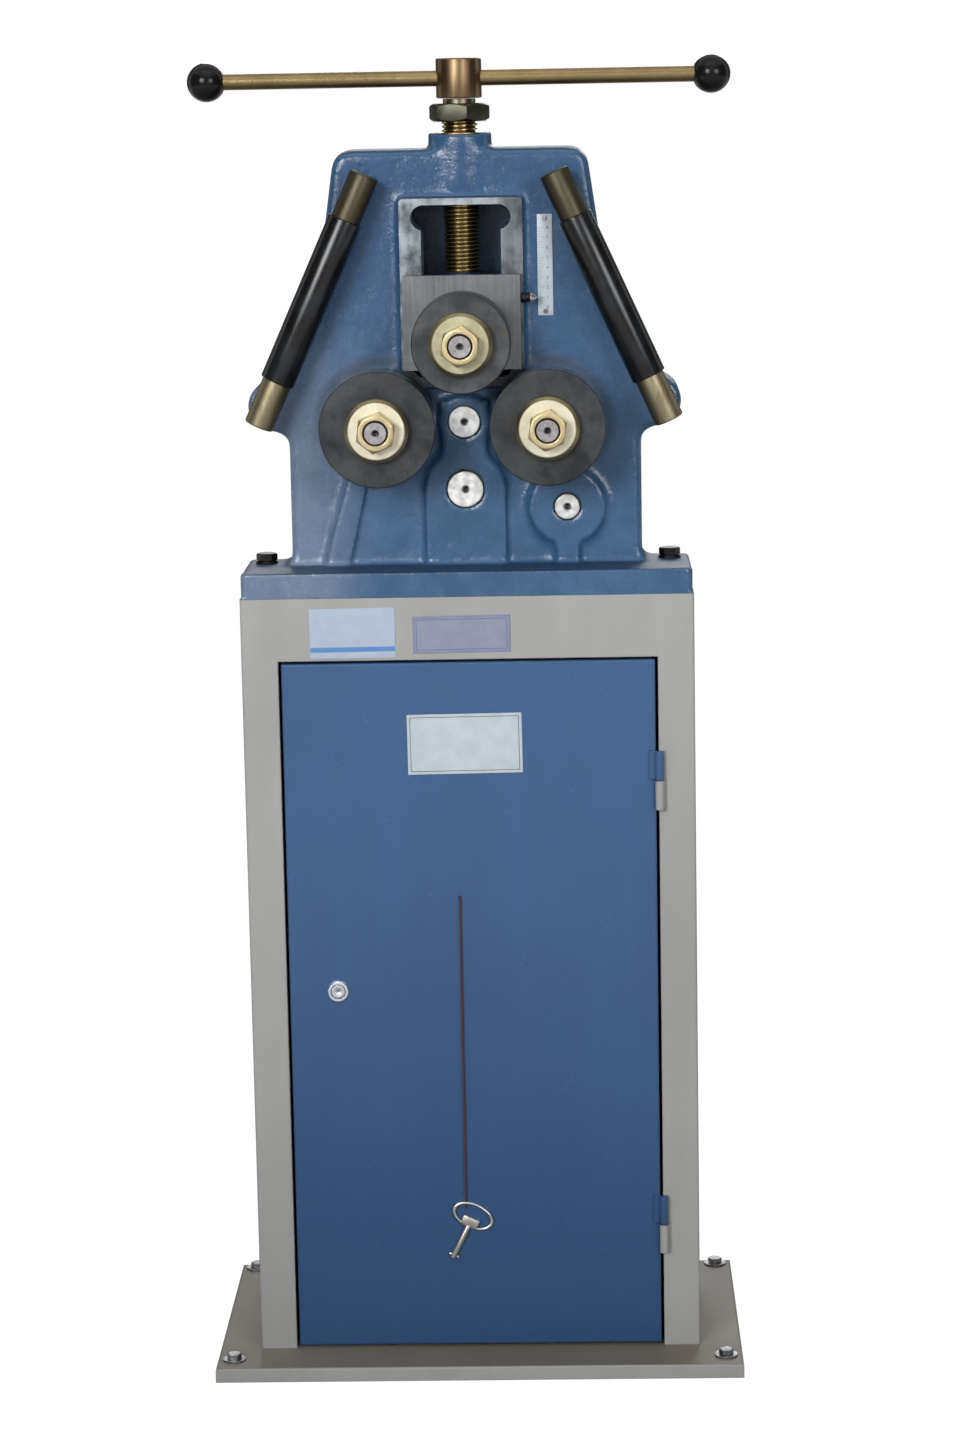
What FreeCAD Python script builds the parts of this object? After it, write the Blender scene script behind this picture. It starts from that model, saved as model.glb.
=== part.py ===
# Hand-driven three-roll ring roller on a cabinet stand.
#
# The frame's origin is at the centre of the base plate's underside. +X points to the operator's
# right, +Y to the back of the machine and +Z up. Lengths are in millimetres, angles in degrees.

import FreeCAD, Part
import math
import os

V = FreeCAD.Vector

# ---------------------------------------------------------------- fits and common clearances

running_fit = 0.05      # radial clearance of a shaft in its bush
sliding_fit = 0.1       # clearance of the slide on each guide face
end_float = 0.3         # axial clearance between a turning piece and the face beside it
screw_clearance = 0.3   # radial clearance of a screw in its plain hole
tooth_clearance = 2.0   # clearance of the gear chamber round a gear's tips

# ---------------------------------------------------------------- stand

base_side_margin = 43.2     # base plate beyond the cabinet at each side
base_end_margin = 60.0      # and in front and behind
base_thickness = 15.0
base_edge_round = 2.5
floor_bolt_side_gap = 25.7  # floor bolts beyond the cabinet's faces
floor_bolt_front_gap = 33.0
floor_bolt_back_gap = 46.0

cabinet_width = 460.6
cabinet_depth = 216.0
cabinet_height = 795.0
cabinet_wall = 2.5
cabinet_top_plate = 6.0
cabinet_corner_round = 3.0
rail_height = 64.0          # front rail above the door opening
jamb_depth = 18.0

stile_width = 37.3          # cabinet front beside the door opening
door_sheet = 2.0
door_gap = 3.0
door_fold_depth = 18.0
door_fold_round = 1.8

hinge_radius = 4.5
hinge_pin_radius = 2.5
hinge_half_length = 30.0    # length of each of the two knuckles of a hinge
upper_hinge_drop = 124.1    # hinge splits below the door's top and above its bottom
lower_hinge_rise = 130.2
hinge_leaf_reach = 10.5
hinge_leaf_thickness = 2.5
knuckle_gap = 0.7

lock_inset = 50.0           # lock from the door's free edge
lock_rise = 383.0           # lock above the door's bottom
lock_flange_radius = 11.5
lock_barrel_radius = 9.0
lock_flange_thickness = 4.0
lock_core_radius = 7.4
lock_pip_radius = 0.8          # small hole in the flap
lock_cam_length = 62.0
lock_cam_width = 16.0
lock_cam_thickness = 2.5

# ---------------------------------------------------------------- key on its cord

cord_radius = 1.0
cord_x = -12.4
cord_hole_rise = 480.3      # cord hole above the door's bottom
cord_stand_off = 2.6        # cord centre in front of the door
key_wire_radius = 1.6
key_bow_x = -5.9
key_bow_rise = 139.7        # key's bow above the door's bottom
key_bow_radius = 14.5
key_bow_straight = 14.0
key_tilt = 25.8
key_shank_radius = 3.0
key_shank_length = 40.0
key_pin_length = 11.0

# ---------------------------------------------------------------- head casting

head_depth = 72.0
head_front_setback = 50.0   # head's front face behind the flange's front edge
head_crown = 49.0           # head's top above the guide pad
head_top_half_width = 127.0
head_shoulder_half_width = 140.5
head_shoulder_drop = 94.0   # shoulder below the head's top
head_waist_half_width = 179.5
head_wall = 12.0
front_wall = 14.0
head_corner_round = 20.0
flange_inset = 1.3          # flange behind the cabinet's sides
flange_thickness = 26.0
flange_corner_round = 5.0
flange_edge_round = 2.5
flange_root_round = 11.0
lug_x = 194.5
lug_rise = 17.2             # lugs above the lower rolls' axes
lug_radius = 26.0
relief = 8.0                # how far the raised bosses stand out of the head's face
boss_skirt = 7.0            # radius of the hollow fillet round the turned bosses
head_bolt_inset = 21.0      # head bolts from the flange's ends
cover_thickness = 10.0

screw_boss_radius = 32.0
screw_boss_height = 15.5    # above the head's top
screw_boss_drop = 40.0
screw_axis_depth = 28.0     # screw behind the head's face

guide_pad_half_width = 62.0
guide_pad_foot = 6.0        # pad below the slot
guide_pad_head = 6.5        # pad above the slot
guide_pad_round = 2.5
guide_half_width = 75.0
slot_half_width = 40.2
slot_foot_clearance = 6.0   # slot beyond the slide's neck at the ends of its travel
slot_head_clearance = 11.5
slot_relief_radius = 12.5
slot_relief_inset = 2.2

# ---------------------------------------------------------------- gear train

gear_module = 2.5
roll_gear_teeth = 42
idler_teeth = 26
small_gear_teeth = 29
large_gear_teeth = 58
pinion_teeth = 26
gear_width = 24.0
backlash = 0.25
roll_spacing = gear_module * (roll_gear_teeth + idler_teeth)
roll_half_spacing = roll_spacing / 2
large_gear_tip = gear_module * (large_gear_teeth + 2) / 2
chamber_floor_gap = 3.55    # large gear above the chamber's floor
layshaft_rise = chamber_floor_gap + large_gear_tip      # layshaft above the flange
layshaft_height = base_thickness + cabinet_height + flange_thickness + layshaft_rise
idler_height = layshaft_height + gear_module * (idler_teeth + small_gear_teeth) / 2
roll_height = idler_height
crank_drop = 19.3
crank_centre_distance = gear_module * (large_gear_teeth + pinion_teeth) / 2
crank_x = math.sqrt(crank_centre_distance ** 2 - crank_drop ** 2)
crank_height = layshaft_height - crank_drop

idler_axle_radius = 16.5
idler_journal_radius = 12.0
layshaft_radius = 18.0
crank_shaft_radius = 12.5
rear_journal_radius = 12.5
bush_wall = 4.0
shaft_end_proud = 2.0       # shaft ends stand this far out of their bosses
bush_recess = 4.0

pin_boss_top_radius = 26.5
pin_boss_neck_half_width = 23.2
pin_boss_radius = 41.0
crank_boss_radius = 39.0
crank_boss_foot_half_width = 12.0
roll_boss_radius = 54.0
rib_foot_x = -133.0
rib_head_x = -100.7
rib_foot_width = 26.0
rib_head_width = 19.0
rib_head_drop = 23.3        # rib's upper end below the rolls' axes

# ---------------------------------------------------------------- rolls

front_disc_radius = 58.0
front_disc_width = 6.0
roll_gap = 2.0              # rolls in front of the slide block
roll_face_reach = 76.0      # the rolls' front face in front of the boss face
roll_bore_radius = 15.0
roll_collar_radius = 25.0
roll_journal_radius = 17.5
top_roll_radius = 49.5
top_roll_collar_radius = 23.0
stud_radius = 12.0
cap_thickness = 15.0
cap_base_radius = 31.8
cap_face_radius = 28.6
roll_nut_across_flats = 36.0
roll_nut_thickness = 18.5
rear_nut_thickness = 8.0
edge_break = 1.0

# ---------------------------------------------------------------- slide, screw and handle

slide_reading = 11.0        # scale reading at which the slide is drawn
slide_travel = 80.0
top_roll_rise = 83.9        # top roll's axis above the lower rolls' axes
block_half_width = 59.3
block_foot = 30.2           # block below the top roll's axis
block_height = 95.0
block_thickness = 18.0
neck_bottom_inset = 8.0
neck_top_inset = 11.0
top_bush_wall = 4.0
keeper_half_width = 46.0
keeper_thickness = 12.0
retainer_thickness = 6.0
retainer_half_width = 38.0
retainer_half_depth = 29.0

screw_radius = 18.0
screw_pitch = 4.0
screw_core_radius = 15.8
screw_collar_radius = 17.0
screw_collar_height = 8.0
screw_neck_radius = 12.0
screw_nut_radius = 25.0
screw_nut_length = 64.0
jam_nut_across_flats = 55.0
jam_nut_thickness = 18.0
hub_neck_radius = 16.5
hub_neck_height = 5.0
hub_radius = 23.0
hub_height = 40.0
bar_radius = 8.0
bar_half_length = 242.0
bar_turn = 1.6
ball_radius = 19.5
ball_centre = 254.4

pointer_drop = 23.6         # pointer below the block's top
pointer_radius = 5.0
pointer_collar_length = 9.9
pointer_cone_length = 8.0
scale_x = 84.4
scale_width = 15.4
scale_margin = 8.4          # plate below the zero mark
scale_top_margin = 13.2
scale_thickness = 2.0
scale_screw_inset = 4.2

# ---------------------------------------------------------------- side rollers

rod_radius = 15.0
rod_groove = 0.5
rod_upper_inset = 32.8      # rod's upper end inside the head's top corner
rod_upper_drop = 23.3
rod_lower_outset = 13.0     # rod's lower end outside and below the lug's centre
rod_lower_drop = 16.8
rod_stand_off = 28.0        # rod axis in front of the head's face
sleeve_radius = 17.5
sleeve_length = 177.0
rod_screw_inset = 25.0
rod_screw_radius = 5.0
spacer_radius = 10.0

# ---------------------------------------------------------------- crank

crank_tube_radius = 26.0
crank_tube_inset = 4.0      # bearing tube's end inside the cabinet's back face
crank_hub_radius = 22.0
crank_hub_length = 30.0
crank_seat_radius = 11.0
crank_length = 250.0
crank_arm_width = 26.0
crank_arm_thickness = 12.0
crank_pin_radius = 7.0
crank_grip_radius = 15.0
crank_grip_length = 110.0

# ---------------------------------------------------------------- places worked out from the sizes

base_width = cabinet_width + 2 * base_side_margin
base_depth = cabinet_depth + 2 * base_end_margin
cabinet_half_width = cabinet_width / 2
cabinet_front = -cabinet_depth / 2
cabinet_back = cabinet_depth / 2
cabinet_top = base_thickness + cabinet_height
floor_bolt_x = cabinet_half_width + floor_bolt_side_gap
floor_bolt_front = cabinet_front - floor_bolt_front_gap
floor_bolt_back = cabinet_back + floor_bolt_back_gap
opening_half_width = cabinet_half_width - stile_width
door_width = 2 * (opening_half_width - door_gap)
opening_top = cabinet_top - rail_height
door_bottom = base_thickness + door_gap
door_top = opening_top - door_gap
hinge_split_heights = [door_top - upper_hinge_drop, door_bottom + lower_hinge_rise]
lock_x = lock_inset - door_width / 2
lock_z = door_bottom + lock_rise
cord_hole_z = door_bottom + cord_hole_rise

flange_width = cabinet_width - 2 * flange_inset
flange_top = cabinet_top + flange_thickness
head_bolt_x = flange_width / 2 - head_bolt_inset
head_front = cabinet_front + head_front_setback
head_back = head_front + head_depth
boss_face = head_front - relief
cavity_front = head_front + front_wall
screw_axis_y = head_front + screw_axis_depth

front_gear_y = cavity_front + 2.0
rear_gear_y = front_gear_y + gear_width + 4.0
rear_gear_back = rear_gear_y + gear_width
cover_back = head_back + cover_thickness
shaft_front = boss_face - shaft_end_proud
roll_face = boss_face - roll_face_reach
stud_end = roll_face - cap_thickness - roll_nut_thickness

block_face = boss_face - block_thickness
top_roll_back = block_face - roll_gap
rear_disc_width = top_roll_back - roll_face - front_disc_width
top_roll_height = roll_height + top_roll_rise
block_bottom = top_roll_height - block_foot
block_top = block_bottom + block_height
pointer_height = block_top - pointer_drop
scale_zero_height = pointer_height - slide_reading
neck_bottom = block_bottom + neck_bottom_inset
neck_top = block_top - neck_top_inset
slot_bottom = neck_bottom - slide_reading - slot_foot_clearance
slot_top = neck_top + slide_travel - slide_reading + slot_head_clearance
guide_pad_bottom = slot_bottom - guide_pad_foot
guide_pad_top = slot_top + guide_pad_head
head_top = guide_pad_top + head_crown
boss_top = head_top + screw_boss_height
shoulder_z = head_top - head_shoulder_drop
lug_z = roll_height + lug_rise
neck_back = head_back + sliding_fit
keeper_back = neck_back + keeper_thickness
retainer_top = neck_top + retainer_thickness
rod_y = head_front - rod_stand_off
rod_upper = (head_top_half_width - rod_upper_inset, head_top - rod_upper_drop)
rod_lower = (lug_x + rod_lower_outset, lug_z - rod_lower_drop)


# ---------------------------------------------------------------- modelling helpers

def box(x0, x1, y0, y1, z0, z1):
    """Rectangular block between two opposite corners."""
    return Part.makeBox(x1 - x0, y1 - y0, z1 - z0, V(x0, y0, z0))


def round_bar(radius, start, end):
    """Cylinder between two points."""
    way = end.sub(start)
    return Part.makeCylinder(radius, way.Length, start, way)


def bar_y(radius, x, z, y0, y1):
    """Cylinder along Y."""
    return round_bar(radius, V(x, y0, z), V(x, y1, z))


def bar_z(radius, x, y, z0, z1):
    """Cylinder along Z."""
    return round_bar(radius, V(x, y, z0), V(x, y, z1))


def turned(profile, start, way):
    """Solid of revolution; profile lists (radius, distance along way from start)."""
    points = [V(radius, 0, distance) for radius, distance in profile]
    face = Part.Face(Part.makePolygon(points + [points[0]]))
    solid = face.revolve(V(0, 0, 0), V(0, 0, 1), 360)
    solid.Placement = FreeCAD.Placement(start, FreeCAD.Rotation(V(0, 0, 1), way))
    return solid


def turned_y(steps, x, z):
    """Stepped shaft along Y; steps lists (radius, y where it starts, y where it ends)."""
    profile = [(0, steps[0][1])]
    for radius, y0, y1 in steps:
        profile.append((radius, y0))
        profile.append((radius, y1))
    profile.append((0, steps[-1][2]))
    return turned(profile, V(x, 0, z), V(0, 1, 0))


def hexagon(across_flats, start, end, turn=0.0):
    """Six-sided bar with its corners turned off at both ends."""
    way = end.sub(start)
    corner = across_flats / math.sqrt(3)
    angles = [math.radians(60 * k + turn) for k in range(6)]
    points = [V(corner * math.cos(a), corner * math.sin(a), 0) for a in angles]
    prism = Part.Face(Part.makePolygon(points + [points[0]])).extrude(V(0, 0, way.Length))
    prism.Placement = FreeCAD.Placement(start, FreeCAD.Rotation(V(0, 0, 1), way))
    flat = 0.48 * across_flats
    turn_off = (corner - flat) * math.tan(math.radians(30))
    blank = turned([(0, 0), (flat, 0), (corner, turn_off), (corner, way.Length - turn_off),
                    (flat, way.Length), (0, way.Length)], start, way)
    return prism.common(blank)


def outline(corners, y):
    """Closed wire in the plane at y; corners lists (x, z, corner radius)."""
    edges = []
    ends = []
    count = len(corners)
    for index, (x, z, radius) in enumerate(corners):
        before = corners[index - 1]
        after = corners[(index + 1) % count]
        point = V(x, y, z)
        back = V(before[0], y, before[1]).sub(point).normalize()
        on = V(after[0], y, after[1]).sub(point).normalize()
        if radius == 0:
            ends.append((point, point))
            continue
        half = back.getAngle(on) / 2
        reach = radius / math.tan(half)
        middle = V(back).add(on).normalize().multiply(radius / math.sin(half) - radius)
        start = point.add(V(back).multiply(reach))
        end = point.add(V(on).multiply(reach))
        edges.append(Part.Arc(start, point.add(middle), end).toShape())
        ends.append((start, end))
    for index in range(count):
        start = ends[index - 1][1]
        end = ends[index][0]
        if start.distanceToPoint(end) > 1e-6:
            edges.append(Part.LineSegment(start, end).toShape())
    return Part.Wire(Part.__sortEdges__(edges))


def plate(corners, y0, y1):
    """Flat plate of the given outline between two planes."""
    return Part.Face(outline(corners, y0)).extrude(V(0, y1 - y0, 0))


def mirrored(corners):
    """The given right-hand corners, then their mirror images in reverse order."""
    return corners + [(-x, z, radius) for x, z, radius in reversed(corners)]


def rectangle(half_width, z0, z1, radius):
    """Corners of an upright rectangle centred on X = 0."""
    return mirrored([(half_width, z1, radius), (half_width, z0, radius)])


def fused(shapes):
    """One solid from overlapping solids."""
    whole = shapes[0].multiFuse(shapes[1:])
    return whole.removeSplitter()


def gear(teeth, x, z, y0, y1, phase, bore):
    """Spur gear with 20-degree involute teeth; phase is the direction of one tooth's middle."""
    pitch_radius = gear_module * teeth / 2
    base_radius = pitch_radius * math.cos(math.radians(20))
    tip_radius = pitch_radius + gear_module
    root_radius = pitch_radius - 1.25 * gear_module
    half_tooth = (math.pi * gear_module / 2 - backlash) / (2 * pitch_radius)
    involute_20 = math.tan(math.radians(20)) - math.radians(20)

    def half_angle(radius):
        """Half of the tooth's angle at a radius."""
        turn = math.acos(min(1.0, base_radius / radius))
        return half_tooth + involute_20 - (math.tan(turn) - turn)

    flank_start = max(base_radius, root_radius)
    steps = 4
    radii = [flank_start + (tip_radius - flank_start) * k / steps for k in range(steps + 1)]
    flank = [(radius, half_angle(radius)) for radius in radii]
    if root_radius < flank_start:
        flank.insert(0, (root_radius, half_angle(flank_start)))
    points = []
    for tooth in range(teeth):
        middle = math.radians(phase) + 2 * math.pi * tooth / teeth
        tooth_points = [(radius, middle - half) for radius, half in flank]
        tooth_points += [(radius, middle + half) for radius, half in reversed(flank)]
        for radius, angle in tooth_points:
            points.append(V(x + radius * math.cos(angle), y0, z + radius * math.sin(angle)))
    blank = Part.Face(Part.makePolygon(points + [points[0]])).extrude(V(0, y1 - y0, 0))
    if bore == 0:
        return blank
    return blank.cut(bar_y(bore, x, z, y0 - 1, y1 + 1))


def meshed_phase(phase, teeth, x, z, other_teeth, other_x, other_z):
    """Phase of a gear at (other_x, other_z) that meshes with the gear at (x, z)."""
    line = math.degrees(math.atan2(other_z - z, other_x - x))
    share = (phase - line) * teeth / 360
    return line + 180 + (0.5 - share) * 360 / other_teeth


def ring(outer, inner, start, end):
    """Tube between two points."""
    way = end.sub(start).normalize()
    longer = round_bar(inner, start.sub(way), end.add(way))
    return round_bar(outer, start, end).cut(longer)


nodes = {}


def keep(name, *solids):
    """File the solids of one node under its name."""
    nodes[name] = solids[0] if len(solids) == 1 else Part.makeCompound(list(solids))


# ---------------------------------------------------------------- stand

floor_bolt_radius = 4.0
floor_bolt_across_flats = 13.0
floor_bolt_head = 5.3
floor_washer_radius = 12.0
floor_washer_thickness = 2.0
floor_bolt_places = [(side * floor_bolt_x, y)
                     for y in (floor_bolt_front, floor_bolt_back) for side in (-1, 1)]

head_bolt_radius = 6.0
head_bolt_across_flats = 19.0
head_bolt_head = 8.0
head_washer_radius = 11.5
head_washer_thickness = 2.5
head_bolt_y = (head_front + head_back) / 2
head_bolt_places = [(side * head_bolt_x, head_bolt_y) for side in (-1, 1)]
head_bolt_length = 50.0
weld_nut_thickness = 10.0


def base_plate():
    """Steel floor plate with rounded top edges and four bolt holes."""
    slab = box(-base_width / 2, base_width / 2, -base_depth / 2, base_depth / 2, 0, base_thickness)
    upper = [edge for edge in slab.Edges if edge.BoundBox.ZMin > base_thickness / 2]
    slab = slab.makeFillet(base_edge_round, upper)
    for x, y in floor_bolt_places:
        slab = slab.cut(bar_z(floor_bolt_radius + screw_clearance, x, y, -1, base_thickness + 1))
    return slab


def hex_bolt(x, y, seat, across_flats, head, radius, length):
    """Hexagon-head bolt pointing down, its head seated at the height given."""
    shank = bar_z(radius, x, y, seat - length, seat + head / 2)
    return fused([hexagon(across_flats, V(x, y, seat), V(x, y, seat + head)), shank])


def washer(x, y, seat, outer, inner, thickness):
    """Flat washer lying on the height given."""
    return ring(outer, inner, V(x, y, seat), V(x, y, seat + thickness))


def cabinet():
    """Welded sheet cabinet, open at the front for the door and closed by the base plate below."""
    shell = box(-cabinet_half_width, cabinet_half_width, cabinet_front, cabinet_back,
                base_thickness, cabinet_top)
    upright = [edge for edge in shell.Edges if edge.BoundBox.ZLength > cabinet_height / 2]
    shell = shell.makeFillet(cabinet_corner_round, upright)
    inside = box(-cabinet_half_width + cabinet_wall, cabinet_half_width - cabinet_wall,
                 cabinet_front + cabinet_wall, cabinet_back - cabinet_wall,
                 base_thickness - 1, cabinet_top - cabinet_top_plate)
    shell = shell.cut(inside)
    jambs = [box(side * opening_half_width - (side < 0) * cabinet_wall,
                 side * opening_half_width + (side > 0) * cabinet_wall,
                 cabinet_front, cabinet_front + jamb_depth, base_thickness, opening_top)
             for side in (-1, 1)]
    lintel = box(-opening_half_width - cabinet_wall, opening_half_width + cabinet_wall,
                 cabinet_front, cabinet_front + jamb_depth, opening_top, opening_top + cabinet_wall)
    weld_nuts = [hexagon(head_bolt_across_flats, V(x, y, cabinet_top - cabinet_top_plate),
                         V(x, y, cabinet_top - cabinet_top_plate - weld_nut_thickness))
                 for x, y in head_bolt_places]
    shell = fused([shell] + jambs + [lintel] + weld_nuts)
    shell = shell.cut(box(-opening_half_width, opening_half_width, cabinet_front - 1,
                          cabinet_front + jamb_depth, base_thickness - 1, opening_top))
    for x, y in head_bolt_places:
        shell = shell.cut(bar_z(head_bolt_radius, x, y, cabinet_top - 2 * head_bolt_length,
                                cabinet_top + 1))
    return shell


keep("base_plate", base_plate())
keep("floor_bolts", *[hex_bolt(x, y, base_thickness + floor_washer_thickness,
                               floor_bolt_across_flats, floor_bolt_head, floor_bolt_radius,
                               base_thickness + floor_washer_thickness - 1)
                      for x, y in floor_bolt_places])
keep("washers", *([washer(x, y, base_thickness, floor_washer_radius, floor_bolt_radius,
                          floor_washer_thickness) for x, y in floor_bolt_places]
                  + [washer(x, y, flange_top, head_washer_radius, head_bolt_radius,
                            head_washer_thickness) for x, y in head_bolt_places]))
keep("cabinet_body", cabinet())
keep("head_bolts", *[hex_bolt(x, y, flange_top + head_washer_thickness, head_bolt_across_flats,
                              head_bolt_head, head_bolt_radius, head_bolt_length)
                     for x, y in head_bolt_places])

# ---------------------------------------------------------------- name plates

name_plate_thickness = 1.0
left_plate_start = -160.0
left_plate_width = 87.0
left_plate_height = 51.0
left_plate_drop = 10.0      # plates below the cabinet's top
middle_plate_start = -55.0
middle_plate_width = 99.0
middle_plate_height = 38.0
middle_plate_drop = 19.0
door_label_start = -63.0
door_label_width = 117.0
door_label_height = 62.0
door_label_drop = 53.0      # label below the door's top
left_plate_x = (left_plate_start, left_plate_start + left_plate_width)
left_plate_z = (cabinet_top - left_plate_drop - left_plate_height, cabinet_top - left_plate_drop)
middle_plate_x = (middle_plate_start, middle_plate_start + middle_plate_width)
middle_plate_z = (cabinet_top - middle_plate_drop - middle_plate_height,
                  cabinet_top - middle_plate_drop)
door_label_x = (door_label_start, door_label_start + door_label_width)
door_label_z = (door_top - door_label_drop - door_label_height, door_top - door_label_drop)
name_plate_round = 1.5


def name_plate(x_range, z_range):
    """Thin blank plate on the front of the stand."""
    x0, x1 = x_range
    z0, z1 = z_range
    corners = [(x0, z0, name_plate_round), (x0, z1, name_plate_round),
               (x1, z1, name_plate_round), (x1, z0, name_plate_round)]
    return plate(corners, cabinet_front - name_plate_thickness, cabinet_front)


keep("name_plates", name_plate(left_plate_x, left_plate_z),
     name_plate(middle_plate_x, middle_plate_z))
keep("door_label", name_plate(door_label_x, door_label_z))

# ---------------------------------------------------------------- door, hinges and lock

hinge_x = opening_half_width + 0.5
hinge_y = cabinet_front - hinge_radius - 0.2
hinge_leaf_y = cabinet_front - hinge_leaf_thickness
lock_hole_radius = lock_barrel_radius + screw_clearance / 2
lock_nut_across_flats = 24.0
lock_nut_thickness = 5.0
cam_front = cabinet_front + jamb_depth + 1.5
cord_hole_radius = cord_radius + screw_clearance


def door_panel():
    """Door pressed from sheet, its four edges folded back, with holes for the lock and the cord."""
    half = door_width / 2
    tray = box(-half, half, cabinet_front, cabinet_front + door_fold_depth, door_bottom, door_top)
    face_edges = [edge for edge in tray.Edges if edge.BoundBox.YMax < cabinet_front + 1]
    tray = tray.makeFillet(door_fold_round, face_edges)
    tray = tray.cut(box(-half + door_sheet, half - door_sheet, cabinet_front + door_sheet,
                        cabinet_front + door_fold_depth + 1,
                        door_bottom + door_sheet, door_top - door_sheet))
    holes = [(lock_hole_radius, lock_x, lock_z), (cord_hole_radius, cord_x, cord_hole_z)]
    for radius, x, z in holes:
        tray = tray.cut(bar_y(radius, x, z, cabinet_front - 1, cabinet_front + door_sheet + 1))
    return tray


def door_hinge(split):
    """Upper half of a lift-off hinge: a leaf welded to the door and a blind knuckle."""
    bottom = split + knuckle_gap / 2
    top = bottom + hinge_half_length
    knuckle = bar_z(hinge_radius, hinge_x, hinge_y, bottom, top)
    leaf = box(hinge_x - hinge_leaf_reach, hinge_x, hinge_leaf_y, cabinet_front, bottom, top)
    leaf = leaf.cut(box(door_width / 2, hinge_x + 1, cabinet_front - 0.2, cabinet_front + 1,
                        bottom - 1, top + 1))
    bore = bar_z(hinge_pin_radius + running_fit, hinge_x, hinge_y, bottom - 1, top - 3)
    return fused([knuckle, leaf]).cut(bore)


def frame_hinge(split):
    """Lower half of a lift-off hinge: a knuckle welded to the cabinet, with the hinge pin in it."""
    top = split - knuckle_gap / 2
    bottom = top - hinge_half_length
    knuckle = bar_z(hinge_radius, hinge_x, hinge_y, bottom, top)
    tab = box(hinge_x, hinge_x + hinge_radius + 2, hinge_leaf_y, cabinet_front, bottom, top)
    pin = bar_z(hinge_pin_radius, hinge_x, hinge_y, bottom + 1, split + hinge_half_length - 5)
    return fused([knuckle, tab, pin])


def lock_body():
    """Round lock housing that passes through the door, with a flange in front."""
    front = cabinet_front - lock_flange_thickness
    steps = [(lock_flange_radius, front, cabinet_front),
             (lock_barrel_radius, cabinet_front, cam_front - 1.5)]
    housing = turned_y(steps, lock_x, lock_z)
    return housing.cut(bar_y(lock_core_radius + running_fit, lock_x, lock_z,
                             front - 1, cam_front + 1))


def lock_nut():
    """Hexagon nut that clamps the lock housing to the door from behind."""
    front = cabinet_front + door_sheet
    nut = hexagon(lock_nut_across_flats, V(lock_x, front, lock_z),
                  V(lock_x, front + lock_nut_thickness, lock_z))
    return nut.cut(bar_y(lock_barrel_radius, lock_x, lock_z, front - 1,
                         front + lock_nut_thickness + 1))


def lock_core():
    """Turning core, its keyhole behind a closed dust flap, with a stub for the cam behind."""
    front = cabinet_front - lock_flange_thickness
    steps = [(lock_core_radius, front + 0.5, cam_front - 0.5),
             (lock_core_radius - 2, cam_front - 0.5, cam_front + lock_cam_thickness)]
    core = turned_y(steps, lock_x, lock_z)
    return core.cut(bar_y(lock_pip_radius, lock_x, lock_z, front, front + 3))


def lock_cam():
    """Flat cam that swings behind the door jamb; drawn hanging down, unlocked."""
    half = lock_cam_width / 2
    corners = [(lock_x - half, lock_z + half, half - 0.5), (lock_x + half, lock_z + half, half - 0.5),
               (lock_x + half, lock_z - lock_cam_length, 3.0),
               (lock_x - half, lock_z - lock_cam_length, 3.0)]
    strip = plate(corners, cam_front, cam_front + lock_cam_thickness)
    return strip.cut(bar_y(lock_core_radius - 2, lock_x, lock_z, cam_front - 1,
                           cam_front + lock_cam_thickness + 1))


keep("door_panel", door_panel())
keep("door_hinges", *[door_hinge(split) for split in hinge_split_heights])
keep("frame_hinges", *[frame_hinge(split) for split in hinge_split_heights])
keep("lock_body", lock_body(), lock_nut())
keep("lock_core", lock_core())
keep("lock_cam", lock_cam())

# ---------------------------------------------------------------- key and cord

key_y = cabinet_front - cord_stand_off
key_axis = V(-math.sin(math.radians(key_tilt)), 0, -math.cos(math.radians(key_tilt)))
key_across = V(math.cos(math.radians(key_tilt)), 0, -math.sin(math.radians(key_tilt)))
key_centre = V(key_bow_x, key_y, door_bottom + key_bow_rise)
cord_end_z = key_centre.z + 0.62 * key_bow_radius
cord_corner = V(cord_x, key_y, cord_hole_z)
cord_points = [V(cord_x, cabinet_front + door_sheet, cord_hole_z), cord_corner,
               V(cord_x, key_y, cord_end_z)]


def key():
    """Cabinet key: an oval wire bow, a square hub, a round shank and a cross pin."""
    half = V(key_across).multiply(key_bow_straight / 2)
    up = V(key_axis).multiply(-key_bow_radius)
    out = V(key_across).multiply(key_bow_radius)
    left_end = key_centre.sub(half)
    right_end = key_centre.add(half)
    path = Part.Wire([
        Part.LineSegment(left_end.add(up), right_end.add(up)).toShape(),
        Part.Arc(right_end.add(up), right_end.add(out), right_end.sub(up)).toShape(),
        Part.LineSegment(right_end.sub(up), left_end.sub(up)).toShape(),
        Part.Arc(left_end.sub(up), left_end.sub(out), left_end.add(up)).toShape()])
    section = Part.Wire(Part.makeCircle(key_wire_radius, left_end.add(up), key_across))
    bow = path.makePipeShell([section], True, False)
    hub_top = key_centre.add(V(key_axis).multiply(key_bow_radius - 5))
    hub = hexagon(9.0, hub_top, hub_top.add(V(key_axis).multiply(11)), 0)
    hub = hub.common(box(-100, 100, key_y - 2.4, key_y + 2.4, 0, cord_hole_z))
    tip = hub_top.add(V(key_axis).multiply(key_shank_length))
    shank = round_bar(key_shank_radius - 0.6, hub_top.add(V(key_axis).multiply(6)), tip)
    pin_middle = tip.sub(V(key_axis).multiply(3))
    reach = V(key_across).multiply(key_pin_length / 2)
    pin = round_bar(1.3, pin_middle.sub(reach), pin_middle.add(reach))
    return fused([bow, hub, shank, pin])


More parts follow.
